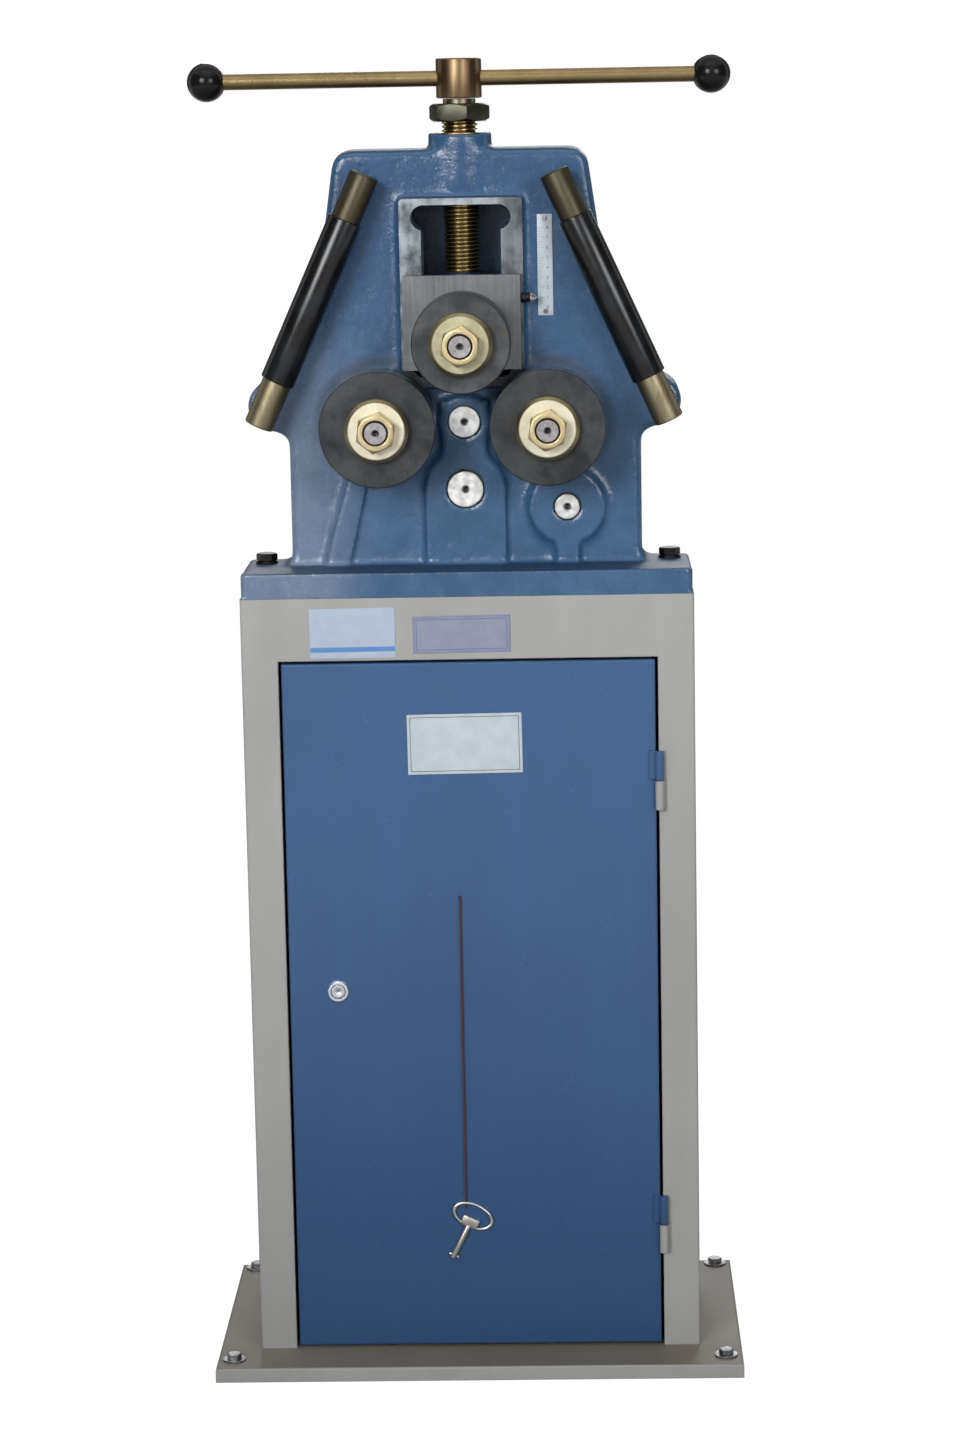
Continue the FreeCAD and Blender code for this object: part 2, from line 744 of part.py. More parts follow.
def key_cord():
    """Thin cord from its hole in the door over the hole's edge and straight down to the key."""
    start, corner, end = cord_points
    reach = 0.45 * start.distanceToPoint(corner)
    before = V(cord_x, corner.y + reach, corner.z)
    after = V(cord_x, corner.y, corner.z - reach)
    slack = reach * (1 - math.sqrt(0.5))
    middle = V(cord_x, corner.y + slack, corner.z - slack)
    path = Part.Wire([Part.LineSegment(start, before).toShape(),
                      Part.Arc(before, middle, after).toShape(),
                      Part.LineSegment(after, end).toShape()])
    section = Part.Wire(Part.makeCircle(cord_radius, start, V(0, 1, 0)))
    print("cord bend radius", round(reach, 2), "cord length", round(path.Length, 1))
    return path.makePipeShell([section], True, False)


keep("key", key())
keep("key_cord", max(key_cord().cut(nodes["key"]).Solids, key=lambda solid: solid.Volume))

# ---------------------------------------------------------------- head casting

bush_places = [(side * roll_half_spacing, roll_height, roll_journal_radius) for side in (-1, 1)]
bush_places += [(0.0, layshaft_height, layshaft_radius), (crank_x, crank_height, crank_shaft_radius)]
roll_gear_clear = gear_module * (roll_gear_teeth + 2) / 2 + tooth_clearance
idler_clear = gear_module * (idler_teeth + 2) / 2 + tooth_clearance
chamber_half_width = head_waist_half_width - head_wall
roof_bottom = roll_height + roll_gear_clear + 3.5
roof_top = roof_bottom + head_wall
slant = (lug_x + 12 - head_shoulder_half_width) / (shoulder_z - lug_z - 14)
cover_half_width = chamber_half_width + 6.5
cover_screw_radius = 3.0
cover_screw_x = cover_half_width - 16.0
cover_screw_inner_x = guide_half_width - 5.0
cover_screw_middle_z = roll_height - 33.3
cover_screw_low_z = cabinet_top + flange_thickness / 2
cover_screw_high_z = roof_bottom + head_wall / 2
cover_screw_places = [(side * x, z) for side in (-1, 1) for x, z in
                      ((cover_screw_x, cover_screw_low_z), (cover_screw_inner_x, cover_screw_low_z),
                       (cover_screw_x, cover_screw_middle_z), (cover_screw_x, cover_screw_high_z),
                       (cover_screw_inner_x, cover_screw_high_z))]
hollow_half_width = keeper_half_width + 10.0
hollow_bottom = neck_bottom - slide_reading - 3.0
hollow_top = slot_top + 1.0
rod_screw_places = []
for side in (-1, 1):
    upper = V(side * rod_upper[0], rod_y, rod_upper[1])
    lower = V(side * rod_lower[0], rod_y, rod_lower[1])
    along = lower.sub(upper).normalize()
    rod_screw_places.append(upper.add(V(along).multiply(rod_screw_inset)))
    rod_screw_places.append(lower.sub(V(along).multiply(rod_screw_inset)))


def hollow_skirt(x, z, radius):
    """Round boss on the head's face with a hollow fillet round its foot."""
    steps = 5
    profile = [(0, boss_face), (radius, boss_face)]
    for k in range(steps + 1):
        angle = math.radians(90 * k / steps)
        profile.append((radius + boss_skirt * (1 - math.cos(angle)),
                        head_front - boss_skirt * (1 - math.sin(angle))))
    profile.append((0, head_front + 1))
    return turned(profile, V(x, 0, z), V(0, 1, 0))


def head_body():
    """Outer form of the casting: box-shaped body, side lugs and foot flange."""
    lug_side_x = lug_x + 12
    body = plate(mirrored([
        (head_top_half_width, head_top, head_corner_round),
        (head_shoulder_half_width, shoulder_z, 30.0),
        (lug_side_x, lug_z + 14, 6.0),
        (lug_x + 8, lug_z - 21.5, 0),
        (head_waist_half_width, lug_z - 32, 10.0),
        (head_waist_half_width, flange_top, flange_root_round),
        (flange_width / 2 - flange_corner_round, flange_top, 0),
        (flange_width / 2 - flange_corner_round, cabinet_top, 0)]), head_front, head_back)
    lugs = [bar_y(lug_radius, side * lug_x, lug_z, head_front, head_back) for side in (-1, 1)]
    flange = box(-flange_width / 2, flange_width / 2, cabinet_front, head_back, cabinet_top, flange_top)
    upright = [edge for edge in flange.Edges if edge.BoundBox.ZLength > flange_thickness / 2]
    flange = flange.makeFillet(flange_corner_round, upright)
    screw_boss = bar_z(screw_boss_radius, 0, screw_axis_y, head_top - screw_boss_drop, boss_top)
    return fused([body, flange, screw_boss] + lugs)


def head_relief():
    """Raised bosses, rib and guide pad on the casting's front."""
    back = head_front + 1
    pad = plate(rectangle(guide_pad_half_width, guide_pad_bottom, guide_pad_top, guide_pad_round),
                boss_face, back)
    rib = plate([(rib_foot_x - rib_foot_width / 2, flange_top - 1, 0),
                 (rib_head_x - rib_head_width / 2, roll_height - rib_head_drop, 0),
                 (rib_head_x + rib_head_width / 2, roll_height - rib_head_drop, 0),
                 (rib_foot_x + rib_foot_width / 2, flange_top - 1, 0)], boss_face, back)
    pin_foot = box(-pin_boss_radius, pin_boss_radius, boss_face, back, flange_top - 1, layshaft_height)
    pin_neck = box(-pin_boss_neck_half_width, pin_boss_neck_half_width, boss_face, back,
                   layshaft_height, idler_height)
    crank_foot = box(crank_x - crank_boss_foot_half_width, crank_x + crank_boss_foot_half_width,
                     boss_face, back, flange_top - 1, crank_height)
    turned_bosses = [hollow_skirt(side * roll_half_spacing, roll_height, roll_boss_radius)
                     for side in (-1, 1)]
    turned_bosses.append(hollow_skirt(0, idler_height, pin_boss_top_radius))
    turned_bosses.append(hollow_skirt(0, layshaft_height, pin_boss_radius))
    turned_bosses.append(hollow_skirt(crank_x, crank_height, crank_boss_radius))
    return [pad, rib, pin_foot, pin_neck, crank_foot] + turned_bosses


def head_cavity():
    """Gear chamber and the two weight-saving pockets, all open at the back."""
    back = head_back + 1
    chamber = plate(rectangle(chamber_half_width, flange_top, roof_bottom, 6.0), cavity_front, back)
    guide = box(-guide_half_width, guide_half_width, cavity_front - 1, back + 1,
                slot_bottom - 4, head_top)
    chamber = chamber.cut(guide)
    for side in (-1, 1):
        chamber = chamber.cut(bar_y(3 * cover_screw_radius, side * cover_screw_x,
                                    cover_screw_middle_z, cavity_front - 1, back + 1))
    gear_spaces = [bar_y(roll_gear_clear, side * roll_half_spacing, roll_height, cavity_front, back)
                   for side in (-1, 1)]
    gear_spaces.append(bar_y(idler_clear, 0, idler_height, cavity_front, back))
    pocket_foot_x = head_shoulder_half_width + slant * (shoulder_z - roof_top) - head_wall
    pocket = [(guide_half_width + 3, roof_top, 6.0), (pocket_foot_x, roof_top, 6.0),
              (head_shoulder_half_width - head_wall, shoulder_z, 20.0),
              (head_top_half_width - head_wall, head_top - head_wall, 8.0),
              (guide_half_width + 3, head_top - head_wall, 8.0)]
    pockets = [plate([(side * x, z, radius) for x, z, radius in pocket], cavity_front, back)
               for side in (-1, 1)]
    screw_wells = [bar_y(13.0, place.x, place.z, cavity_front, back) for place in rod_screw_places]
    return [chamber] + gear_spaces + pockets + screw_wells


def guide_slot():
    """Slot for the slide, right through the casting, with round relieved corners."""
    front = boss_face - 1
    back = head_back + 1
    cutters = [box(-slot_half_width, slot_half_width, front, back, slot_bottom, slot_top)]
    for side in (-1, 1):
        for z in (slot_bottom + slot_relief_radius, slot_top - slot_relief_radius):
            cutters.append(bar_y(slot_relief_radius, side * (slot_half_width - slot_relief_inset), z,
                                 front, back))
    return cutters


def shaft_bores():
    """Bush seats and clearance holes in the casting's front wall."""
    front = boss_face - 1
    cutters = [bar_y(idler_axle_radius, 0, idler_height, front, cavity_front + 1)]
    for x, z, journal in bush_places:
        cutters.append(bar_y(journal + 1, x, z, front, cavity_front + 1))
        cutters.append(bar_y(journal + bush_wall, x, z, boss_face + bush_recess, cavity_front + 1))
    return cutters


def screw_holes():
    """Plain and tapped holes of the casting's fasteners."""
    cutters = [bar_z(head_bolt_radius + screw_clearance, x, y, cabinet_top - 1, flange_top + 1)
               for x, y in head_bolt_places]
    cutters += [bar_y(cover_screw_radius, x, z, head_back - 16, head_back + 1)
                for x, z in cover_screw_places]
    cutters += [bar_y(rod_screw_radius + screw_clearance, place.x, place.z, head_front - 1,
                      cavity_front + 1) for place in rod_screw_places]
    cutters += [bar_y(scale_screw_radius, scale_x, z, head_front - 1, head_front + 8)
                for z in scale_screw_heights]
    return cutters


scale_screw_radius = 1.5
scale_screw_head_radius = 2.4
scale_bottom = scale_zero_height - scale_margin
scale_plate_top = scale_zero_height + slide_travel + scale_top_margin
scale_screw_heights = [scale_bottom + scale_screw_inset, scale_plate_top - scale_screw_inset]

casting = head_body().multiFuse(head_relief())
casting = casting.cut(Part.makeCompound(head_cavity()))
casting = casting.cut(Part.makeCompound(guide_slot()))
casting = casting.cut(bar_z(screw_nut_radius, 0, screw_axis_y, slot_top - 1, boss_top + 1))
casting = casting.cut(Part.makeCompound(shaft_bores()))
casting = casting.cut(Part.makeCompound(screw_holes()))
keep("head_casting", casting.removeSplitter())


# ---------------------------------------------------------------- rear cover and its bushes

rear_places = [(side * roll_half_spacing, roll_height) for side in (-1, 1)]
rear_places += [(0.0, layshaft_height), (crank_x, crank_height)]
crank_tube_back = cabinet_back - crank_tube_inset
crank_bush_length = 18.0
rear_bush_radius = rear_journal_radius + bush_wall
cover_box_back = keeper_back + 12.0
cover_box_wall = 5.0


def rear_cover():
    """Cast cover of the gear chamber, with a raised box over the slide's keeper."""
    lower = plate(rectangle(cover_half_width, cabinet_top + 2, roof_top, 10.0), head_back, cover_back)
    raised = box(-hollow_half_width - cover_box_wall, hollow_half_width + cover_box_wall,
                 head_back, cover_box_back, roof_bottom - 30, hollow_top + cover_box_wall)
    tube = bar_y(crank_tube_radius, crank_x, crank_height, head_back, crank_tube_back)
    cover = fused([lower, raised, tube])
    cutters = [box(-hollow_half_width, hollow_half_width, head_back - 1,
                   cover_box_back - cover_box_wall, hollow_bottom, hollow_top)]
    cutters += [bar_y(rear_bush_radius, x, z, head_back - 1, cover_back + 1)
                for x, z in rear_places[:3]]
    cutters.append(bar_y(rear_bush_radius, crank_x, crank_height, head_back - 1, crank_tube_back + 1))
    cutters += [bar_y(cover_screw_radius + screw_clearance, x, z, head_back - 1, cover_back + 1)
                for x, z in cover_screw_places]
    return cover.cut(Part.makeCompound(cutters))


def cap_screw(radius, start, way, length, head_radius, head_height):
    """Socket-head cap screw with its head's underside at start, pointing along way."""
    back = V(way).multiply(-head_height)
    screw = fused([round_bar(head_radius, start.add(back), start),
                   round_bar(radius, start.sub(way), start.add(V(way).multiply(length)))])
    socket = hexagon(1.6 * radius, start.add(back).sub(way),
                     start.add(V(way).multiply(-head_height / 2)))
    return screw.cut(socket)


bushes = [ring(journal + bush_wall, journal + running_fit, V(x, boss_face + bush_recess, z),
               V(x, cavity_front, z)) for x, z, journal in bush_places]
bushes += [ring(rear_bush_radius, rear_journal_radius + running_fit, V(x, head_back, z),
                V(x, cover_back, z)) for x, z in rear_places[:3]]
bushes += [ring(rear_bush_radius, rear_journal_radius + running_fit, V(crank_x, y, crank_height),
                V(crank_x, y + crank_bush_length, crank_height))
           for y in (head_back, crank_tube_back - crank_bush_length)]
keep("rear_cover", rear_cover())
keep("shaft_bushes", *bushes)

# ---------------------------------------------------------------- side rollers

cover_screw_head = 5.0
rod_screw_head = 8.0
sleeve_start = (V(rod_lower[0], 0, rod_lower[1]).sub(V(rod_upper[0], 0, rod_upper[1])).Length
                - sleeve_length) / 2
spacers = []
rod_screws = []


def slanted_rod(side):
    """Plated rod with a shallow turned seat for its sleeve, and the sleeve that turns on it."""
    start = V(side * rod_upper[0], rod_y, rod_upper[1])
    end = V(side * rod_lower[0], rod_y, rod_lower[1])
    way = end.sub(start).normalize()
    length = start.distanceToPoint(end)
    seat = rod_radius - rod_groove
    rod = turned([(0, 0), (rod_radius - edge_break, 0), (rod_radius, edge_break),
                  (rod_radius, sleeve_start), (seat, sleeve_start),
                  (seat, sleeve_start + sleeve_length), (rod_radius, sleeve_start + sleeve_length),
                  (rod_radius, length - edge_break), (rod_radius - edge_break, length), (0, length)],
                 start, way)
    sleeve_from = start.add(V(way).multiply(sleeve_start + end_float))
    sleeve_to = start.add(V(way).multiply(sleeve_start + sleeve_length - end_float))
    return rod, ring(sleeve_radius, seat + running_fit, sleeve_from, sleeve_to)


rods = []
sleeves = []
for side in (-1, 1):
    rod, sleeve = slanted_rod(side)
    rods.append(rod)
    sleeves.append(sleeve)
for index, place in enumerate(rod_screw_places):
    rod = rods[index // 2]
    spacer = ring(spacer_radius, rod_screw_radius + screw_clearance, V(place.x, rod_y, place.z),
                  V(place.x, head_front, place.z))
    spacers.append(spacer.cut(rod))
    tapped = bar_y(rod_screw_radius, place.x, place.z, rod_y - 4, rod_y + rod_radius + 1)
    rods[index // 2] = rod.cut(tapped)
    rod_screws.append(cap_screw(rod_screw_radius, V(place.x, cavity_front, place.z), V(0, -1, 0),
                                cavity_front - rod_y + 4, rod_screw_head, 2 * rod_screw_radius))
keep("rods", *rods)
keep("rod_spacers", *spacers)
keep("left_sleeve", sleeves[0])
keep("right_sleeve", sleeves[1])
keep("cap_screws", *(rod_screws
                     + [cap_screw(cover_screw_radius, V(x, cover_back, z), V(0, -1, 0),
                                  cover_thickness + 14.0, cover_screw_head, 2 * cover_screw_radius)
                        for x, z in cover_screw_places]))

# ---------------------------------------------------------------- gear train

left_x = -roll_half_spacing
right_x = roll_half_spacing
idler_phase = 0.0
left_phase = meshed_phase(idler_phase, idler_teeth, 0, idler_height, roll_gear_teeth, left_x, roll_height)
right_phase = meshed_phase(idler_phase, idler_teeth, 0, idler_height, roll_gear_teeth, right_x,
                           roll_height)
small_phase = meshed_phase(idler_phase, idler_teeth, 0, idler_height, small_gear_teeth, 0,
                           layshaft_height)
pinion_phase = 90.0
large_phase = meshed_phase(pinion_phase, pinion_teeth, crank_x, crank_height, large_gear_teeth, 0,
                           layshaft_height)
front_gear_back = front_gear_y + gear_width
gear_seat_radius = roll_journal_radius - 1.5
rear_end = cover_back - 0.2


def roll_shaft(x):
    """Shaft of a lower roll: stud, roll seat, thrust collar, journals and gear seat."""
    steps = [(stud_radius - edge_break, stud_end, stud_end + edge_break),
             (stud_radius, stud_end + edge_break, roll_face + 2),
             (roll_bore_radius, roll_face + 2, roll_face + front_disc_width + rear_disc_width),
             (roll_collar_radius, roll_face + front_disc_width + rear_disc_width,
              boss_face - end_float),
             (roll_journal_radius, boss_face - end_float, cavity_front + 0.5),
             (gear_seat_radius, cavity_front + 0.5, head_back - 2),
             (rear_journal_radius, head_back - 2, rear_end)]
    return turned_y(steps, x, roll_height)


def disc(radius, x, z, y0, y1):
    """Roll disc with broken edges, bored for its shaft."""
    blank = turned([(roll_bore_radius, y0), (radius - edge_break, y0), (radius, y0 + edge_break),
                    (radius, y1 - edge_break), (radius - edge_break, y1), (roll_bore_radius, y1)],
                   V(x, 0, z), V(0, 1, 0))
    return blank


def roll_cap(x, z):
    """Thick conical-edged washer in front of a roll."""
    front = roll_face - cap_thickness
    return turned([(stud_radius, front), (cap_face_radius, front),
                   (cap_base_radius, front + 4.0), (cap_base_radius, roll_face),
                   (stud_radius, roll_face)], V(x, 0, z), V(0, 1, 0))


def roll_nut(x, z, front, thickness):
    """Hexagon nut on a roll's stud."""
    nut = hexagon(roll_nut_across_flats, V(x, front, z), V(x, front + thickness, z), 8.0)
    return nut.cut(bar_y(stud_radius, x, z, front - 1, front + thickness + 1))


for name, x, phase in (("left", left_x, left_phase), ("right", right_x, right_phase)):
    middle = roll_face + front_disc_width
    keep(name + "_shaft", roll_shaft(x))
    keep(name + "_front_disc", disc(front_disc_radius, x, roll_height, roll_face, middle))
    keep(name + "_rear_disc", disc(front_disc_radius, x, roll_height, middle,
                                   middle + rear_disc_width))
    keep(name + "_cap", roll_cap(x, roll_height))
    keep(name + "_nut", roll_nut(x, roll_height, stud_end, roll_nut_thickness))
    keep(name + "_gear", gear(roll_gear_teeth, x, roll_height, front_gear_y, front_gear_back, phase,
                              gear_seat_radius))

axle_steps = [(idler_axle_radius - edge_break, shaft_front, shaft_front + edge_break),
              (idler_axle_radius, shaft_front + edge_break, cavity_front),
              (idler_journal_radius, cavity_front, rear_gear_y - 1.5)]
clip_front = front_gear_back + end_float
clip = ring(idler_axle_radius, idler_journal_radius, V(0, clip_front, idler_height),
            V(0, clip_front + 1.5, idler_height))
keep("idler_axle", turned_y(axle_steps, 0, idler_height), clip)
keep("idler_gear", gear(idler_teeth, 0, idler_height, front_gear_y, front_gear_back, idler_phase,
                        idler_journal_radius + running_fit))

layshaft_steps = [(layshaft_radius - edge_break, shaft_front, shaft_front + edge_break),
                  (layshaft_radius, shaft_front + edge_break, rear_gear_back),
                  (rear_journal_radius, rear_gear_back, rear_end)]
small_gear = gear(small_gear_teeth, 0, layshaft_height, front_gear_y, front_gear_back, small_phase, 0)
keep("layshaft", fused([turned_y(layshaft_steps, 0, layshaft_height), small_gear]))
keep("large_gear", gear(large_gear_teeth, 0, layshaft_height, rear_gear_y, rear_gear_back,
                        large_phase, layshaft_radius))

# ---------------------------------------------------------------- crank

crank_hub_front = crank_tube_back + 2.0
crank_hub_back = crank_hub_front + crank_hub_length
crank_arm_front = crank_hub_front + 8.0
crank_arm_back = crank_arm_front + crank_arm_thickness
crank_end_z = crank_height - crank_length
grip_front = crank_arm_back + 1.0
grip_back = grip_front + crank_grip_length

crank_steps = [(crank_shaft_radius - edge_break, shaft_front, shaft_front + edge_break),
               (crank_shaft_radius, shaft_front + edge_break, cavity_front + 0.5),
               (crank_shaft_radius + 1.5, cavity_front + 0.5, rear_gear_back + 2),
               (crank_shaft_radius, rear_gear_back + 2, crank_tube_back + 0.5),
               (crank_seat_radius, crank_tube_back + 0.5, crank_hub_back)]
pinion = gear(pinion_teeth, crank_x, crank_height, rear_gear_y, rear_gear_back, pinion_phase, 0)
keep("crank_shaft", fused([turned_y(crank_steps, crank_x, crank_height), pinion]))


def crank_arm():
    """Flat crank arm with its hub and the fixed pin that the grip turns on."""
    hub = bar_y(crank_hub_radius, crank_x, crank_height, crank_hub_front, crank_hub_back)
    flat = box(crank_x - crank_arm_width / 2, crank_x + crank_arm_width / 2, crank_arm_front,
               crank_arm_back, crank_end_z, crank_height)
    foot = bar_y(crank_arm_width / 2, crank_x, crank_end_z, crank_arm_front, crank_arm_back)
    pin = bar_y(crank_pin_radius, crank_x, crank_end_z, crank_arm_front, grip_back + 1)
    head = bar_y(crank_pin_radius + 3, crank_x, crank_end_z, grip_back + 0.5, grip_back + 4)
    bore = bar_y(crank_seat_radius, crank_x, crank_height, crank_hub_front - 1, crank_hub_back + 1)
    return fused([hub, flat, foot, pin, head]).cut(bore)


def crank_grip():
    """Barrel-shaped hand grip."""
    narrow = crank_grip_radius - 3
    bore = crank_pin_radius + running_fit
    length = crank_grip_length
    return turned([(bore, 0), (narrow, 0), (narrow + 2, 4), (crank_grip_radius, length * 0.4),
                   (crank_grip_radius, length * 0.7), (narrow + 2, length - 4), (narrow, length),
                   (bore, length)], V(crank_x, grip_front, crank_end_z), V(0, 1, 0))


keep("crank_arm", crank_arm())
keep("crank_grip", crank_grip())

# ---------------------------------------------------------------- slide with the top roll

block_back = boss_face - sliding_fit
top_bush_radius = roll_bore_radius + top_bush_wall
front_bush_length = 24.0
rear_bush_length = 18.0
pocket_bottom = neck_top - end_float - screw_collar_height - sliding_fit
retainer_screw_places = [(x, screw_axis_y + y) for x in (-28.0, 28.0) for y in (-18.0, 18.0)]
keeper_screw_places = [(x, z) for x in (-28.0, 28.0) for z in (neck_bottom + 10, neck_top - 10)]
small_screw_radius = 2.5
small_screw_head = 4.5
keeper_screw_radius = 4.0
keeper_screw_head = 6.5
head_sink = 3.0
keeper_head_sink = 8.0


def slide_block():
    """Ground front plate with the neck that runs in the guide slot, bored for roll and screw."""
    front = box(-block_half_width, block_half_width, block_face, block_back, block_bottom, block_top)
    neck_half = slot_half_width - sliding_fit
    neck = box(-neck_half, neck_half, block_back, neck_back, neck_bottom, neck_top)
    block = fused([front, neck])
    cutters = [bar_y(roll_bore_radius + 1, 0, top_roll_height, block_face - 1, neck_back + 1),
               bar_y(top_bush_radius, 0, top_roll_height, block_face - 1,
                     block_face + front_bush_length),
               bar_y(top_bush_radius, 0, top_roll_height, neck_back - rear_bush_length,
                     neck_back + 1),
               bar_z(screw_collar_radius + 0.5, 0, screw_axis_y, pocket_bottom, neck_top + 1),
               round_bar(pointer_stem_radius, V(block_half_width - 12, pointer_y, pointer_height),
                         V(block_half_width + 1, pointer_y, pointer_height))]
    cutters += [bar_z(small_screw_radius, x, y, neck_top - 14, neck_top + 1)
                for x, y in retainer_screw_places]
    cutters += [bar_y(keeper_screw_radius, x, z, neck_back - 18, neck_back + 1)
                for x, z in keeper_screw_places]
    return block.cut(Part.makeCompound(cutters))


def slide_keeper():
    """Plate behind the casting that holds the slide in its slot."""
    keeper = box(-keeper_half_width, keeper_half_width, neck_back, keeper_back, neck_bottom, neck_top)
    cutters = [bar_y(roll_nut_across_flats / 2 + 5, 0, top_roll_height, neck_back - 1, keeper_back + 1)]
    for x, z in keeper_screw_places:
        cutters.append(bar_y(keeper_screw_radius + screw_clearance, x, z, neck_back - 1,
                             keeper_back + 1))
        cutters.append(bar_y(keeper_screw_head + screw_clearance, x, z,
                             keeper_back - keeper_head_sink, keeper_back + 1))
    return keeper.cut(Part.makeCompound(cutters))


def screw_retainer():
    """Split plate on top of the slide that holds the screw's collar; two halves."""
    whole = box(-retainer_half_width, retainer_half_width, screw_axis_y - retainer_half_depth,
                screw_axis_y + retainer_half_depth, neck_top, retainer_top)
    whole = whole.cut(bar_z(screw_neck_radius + end_float, 0, screw_axis_y, neck_top - 1,
                            retainer_top + 1))
    for x, y in retainer_screw_places:
        whole = whole.cut(bar_z(small_screw_radius + screw_clearance, x, y, neck_top - 1,
                                retainer_top + 1))
        whole = whole.cut(bar_z(small_screw_head + screw_clearance, x, y,
                                retainer_top - head_sink, retainer_top + 1))
    saw_cut = box(-0.25, 0.25, screw_axis_y - retainer_half_depth - 1,
                  screw_axis_y + retainer_half_depth + 1, neck_top - 1, retainer_top + 1)
    return whole.cut(saw_cut).Solids


pointer_y = block_face + block_thickness / 2
pointer_stem_radius = 2.5
keep("slide_block", slide_block())
keep("slide_keeper", slide_keeper())
keep("screw_retainer", *screw_retainer())
keep("slide_screws",
     *([cap_screw(small_screw_radius, V(x, y, retainer_top - head_sink), V(0, 0, -1), 14.0,
                  small_screw_head, head_sink) for x, y in retainer_screw_places]
       + [cap_screw(keeper_screw_radius, V(x, keeper_back - keeper_head_sink, z), V(0, -1, 0),
                    keeper_thickness + 8.0, keeper_screw_head, keeper_head_sink)
          for x, z in keeper_screw_places]))
keep("top_bushes",
     ring(top_bush_radius, roll_bore_radius + running_fit, V(0, block_face, top_roll_height),
          V(0, block_face + front_bush_length, top_roll_height)),
     ring(top_bush_radius, roll_bore_radius + running_fit,
          V(0, neck_back - rear_bush_length, top_roll_height), V(0, neck_back, top_roll_height)))

pointer_tip = block_half_width + pointer_collar_length + pointer_cone_length
pointer_waist = block_half_width + 0.62 * pointer_collar_length
keep("pointer", turned(
    [(0, block_half_width - 10), (pointer_stem_radius, block_half_width - 10),
     (pointer_stem_radius, block_half_width), (pointer_radius, block_half_width),
     (pointer_radius, pointer_waist - 1), (pointer_radius - 0.8, pointer_waist - 1),
     (pointer_radius - 0.8, pointer_waist + 1), (pointer_radius, pointer_waist + 1),
     (pointer_radius, block_half_width + pointer_collar_length), (0, pointer_tip)],
    V(0, pointer_y, pointer_height), V(1, 0, 0)))

rear_nut_back = neck_back + rear_nut_thickness
top_shaft_steps = [
    (stud_radius - edge_break, stud_end, stud_end + edge_break),
    (stud_radius, stud_end + edge_break, roll_face + 2),
    (roll_bore_radius, roll_face + 2, top_roll_back),
    (top_roll_collar_radius, top_roll_back, block_face - end_float),
    (roll_bore_radius, block_face - end_float, neck_back + end_float),
    (stud_radius, neck_back + end_float, rear_nut_back + 1)]
keep("top_shaft", turned_y(top_shaft_steps, 0, top_roll_height))
keep("top_roll", disc(top_roll_radius, 0, top_roll_height, roll_face, top_roll_back))
keep("top_cap", roll_cap(0, top_roll_height))
keep("top_nuts", roll_nut(0, top_roll_height, stud_end, roll_nut_thickness),
     roll_nut(0, top_roll_height, neck_back + end_float, rear_nut_thickness))

# ---------------------------------------------------------------- scale

keep("scale_plate", box(scale_x - scale_width / 2, scale_x + scale_width / 2,
                        head_front - scale_thickness, head_front, scale_bottom, scale_plate_top)
     .cut(Part.makeCompound([bar_y(scale_screw_radius, scale_x, z, head_front - 5, head_front + 1)
                             for z in scale_screw_heights])))
keep("scale_screws", *[turned_y([(scale_screw_head_radius, head_front - scale_thickness - 1.4,
                                  head_front - scale_thickness),
                                 (scale_screw_radius, head_front - scale_thickness, head_front + 8)],
                                scale_x, z) for z in scale_screw_heights])

# ---------------------------------------------------------------- screw and handle

jam_nut_bottom = boss_top + slide_reading + 0.2
jam_nut_top = jam_nut_bottom + jam_nut_thickness
hub_bottom = jam_nut_top + hub_neck_height
hub_top = hub_bottom + hub_height
hub_middle = (hub_bottom + hub_top) / 2
collar_bottom = pocket_bottom + sliding_fit
collar_top = collar_bottom + screw_collar_height
thread_bottom = retainer_top + 1.0
screw_axis = V(0, screw_axis_y, 0)
bar_way = V(math.cos(math.radians(bar_turn)), math.sin(math.radians(bar_turn)), 0)
bar_middle = V(0, screw_axis_y, hub_middle)


def screw_spindle():
    """Trapezoidal-thread spindle, its thread drawn as rings, with a thrust collar at its foot."""
    profile = [(0, collar_bottom), (screw_collar_radius, collar_bottom),
               (screw_collar_radius, collar_top), (screw_neck_radius, collar_top),
               (screw_neck_radius, thread_bottom)]
    flat = 0.36 * screw_pitch
    flank = screw_pitch / 2 - flat
    turns = int((jam_nut_top - thread_bottom) / screw_pitch)
    for turn in range(turns):
        z = thread_bottom + turn * screw_pitch
        profile += [(screw_core_radius, z), (screw_radius, z + flank),
                    (screw_radius, z + flank + flat), (screw_core_radius, z + 2 * flank + flat)]
    profile += [(screw_core_radius, jam_nut_top), (hub_neck_radius, jam_nut_top),
                (hub_neck_radius, hub_bottom), (0, hub_bottom)]
    return turned(profile, screw_axis, V(0, 0, 1))


def handle_hub():
    """Round head on top of the screw, cross-drilled for the bar."""
    hub = turned([(0, hub_bottom), (hub_radius - edge_break, hub_bottom),
                  (hub_radius, hub_bottom + edge_break), (hub_radius, hub_top - 1.5 * edge_break),
                  (hub_radius - 1.5 * edge_break, hub_top), (0, hub_top)], screw_axis, V(0, 0, 1))
    reach = V(bar_way).multiply(2 * hub_radius)
    return hub.cut(round_bar(bar_radius, bar_middle.sub(reach), bar_middle.add(reach)))


def ball_knob(side):
    """Ball knob pushed on one end of the bar."""
    centre = bar_middle.add(V(bar_way).multiply(side * ball_centre))
    ball = Part.makeSphere(ball_radius, centre)
    inner = bar_middle.add(V(bar_way).multiply(side * (ball_centre - 2 * ball_radius)))
    outer = bar_middle.add(V(bar_way).multiply(side * bar_half_length))
    return ball.cut(round_bar(bar_radius, inner, outer))


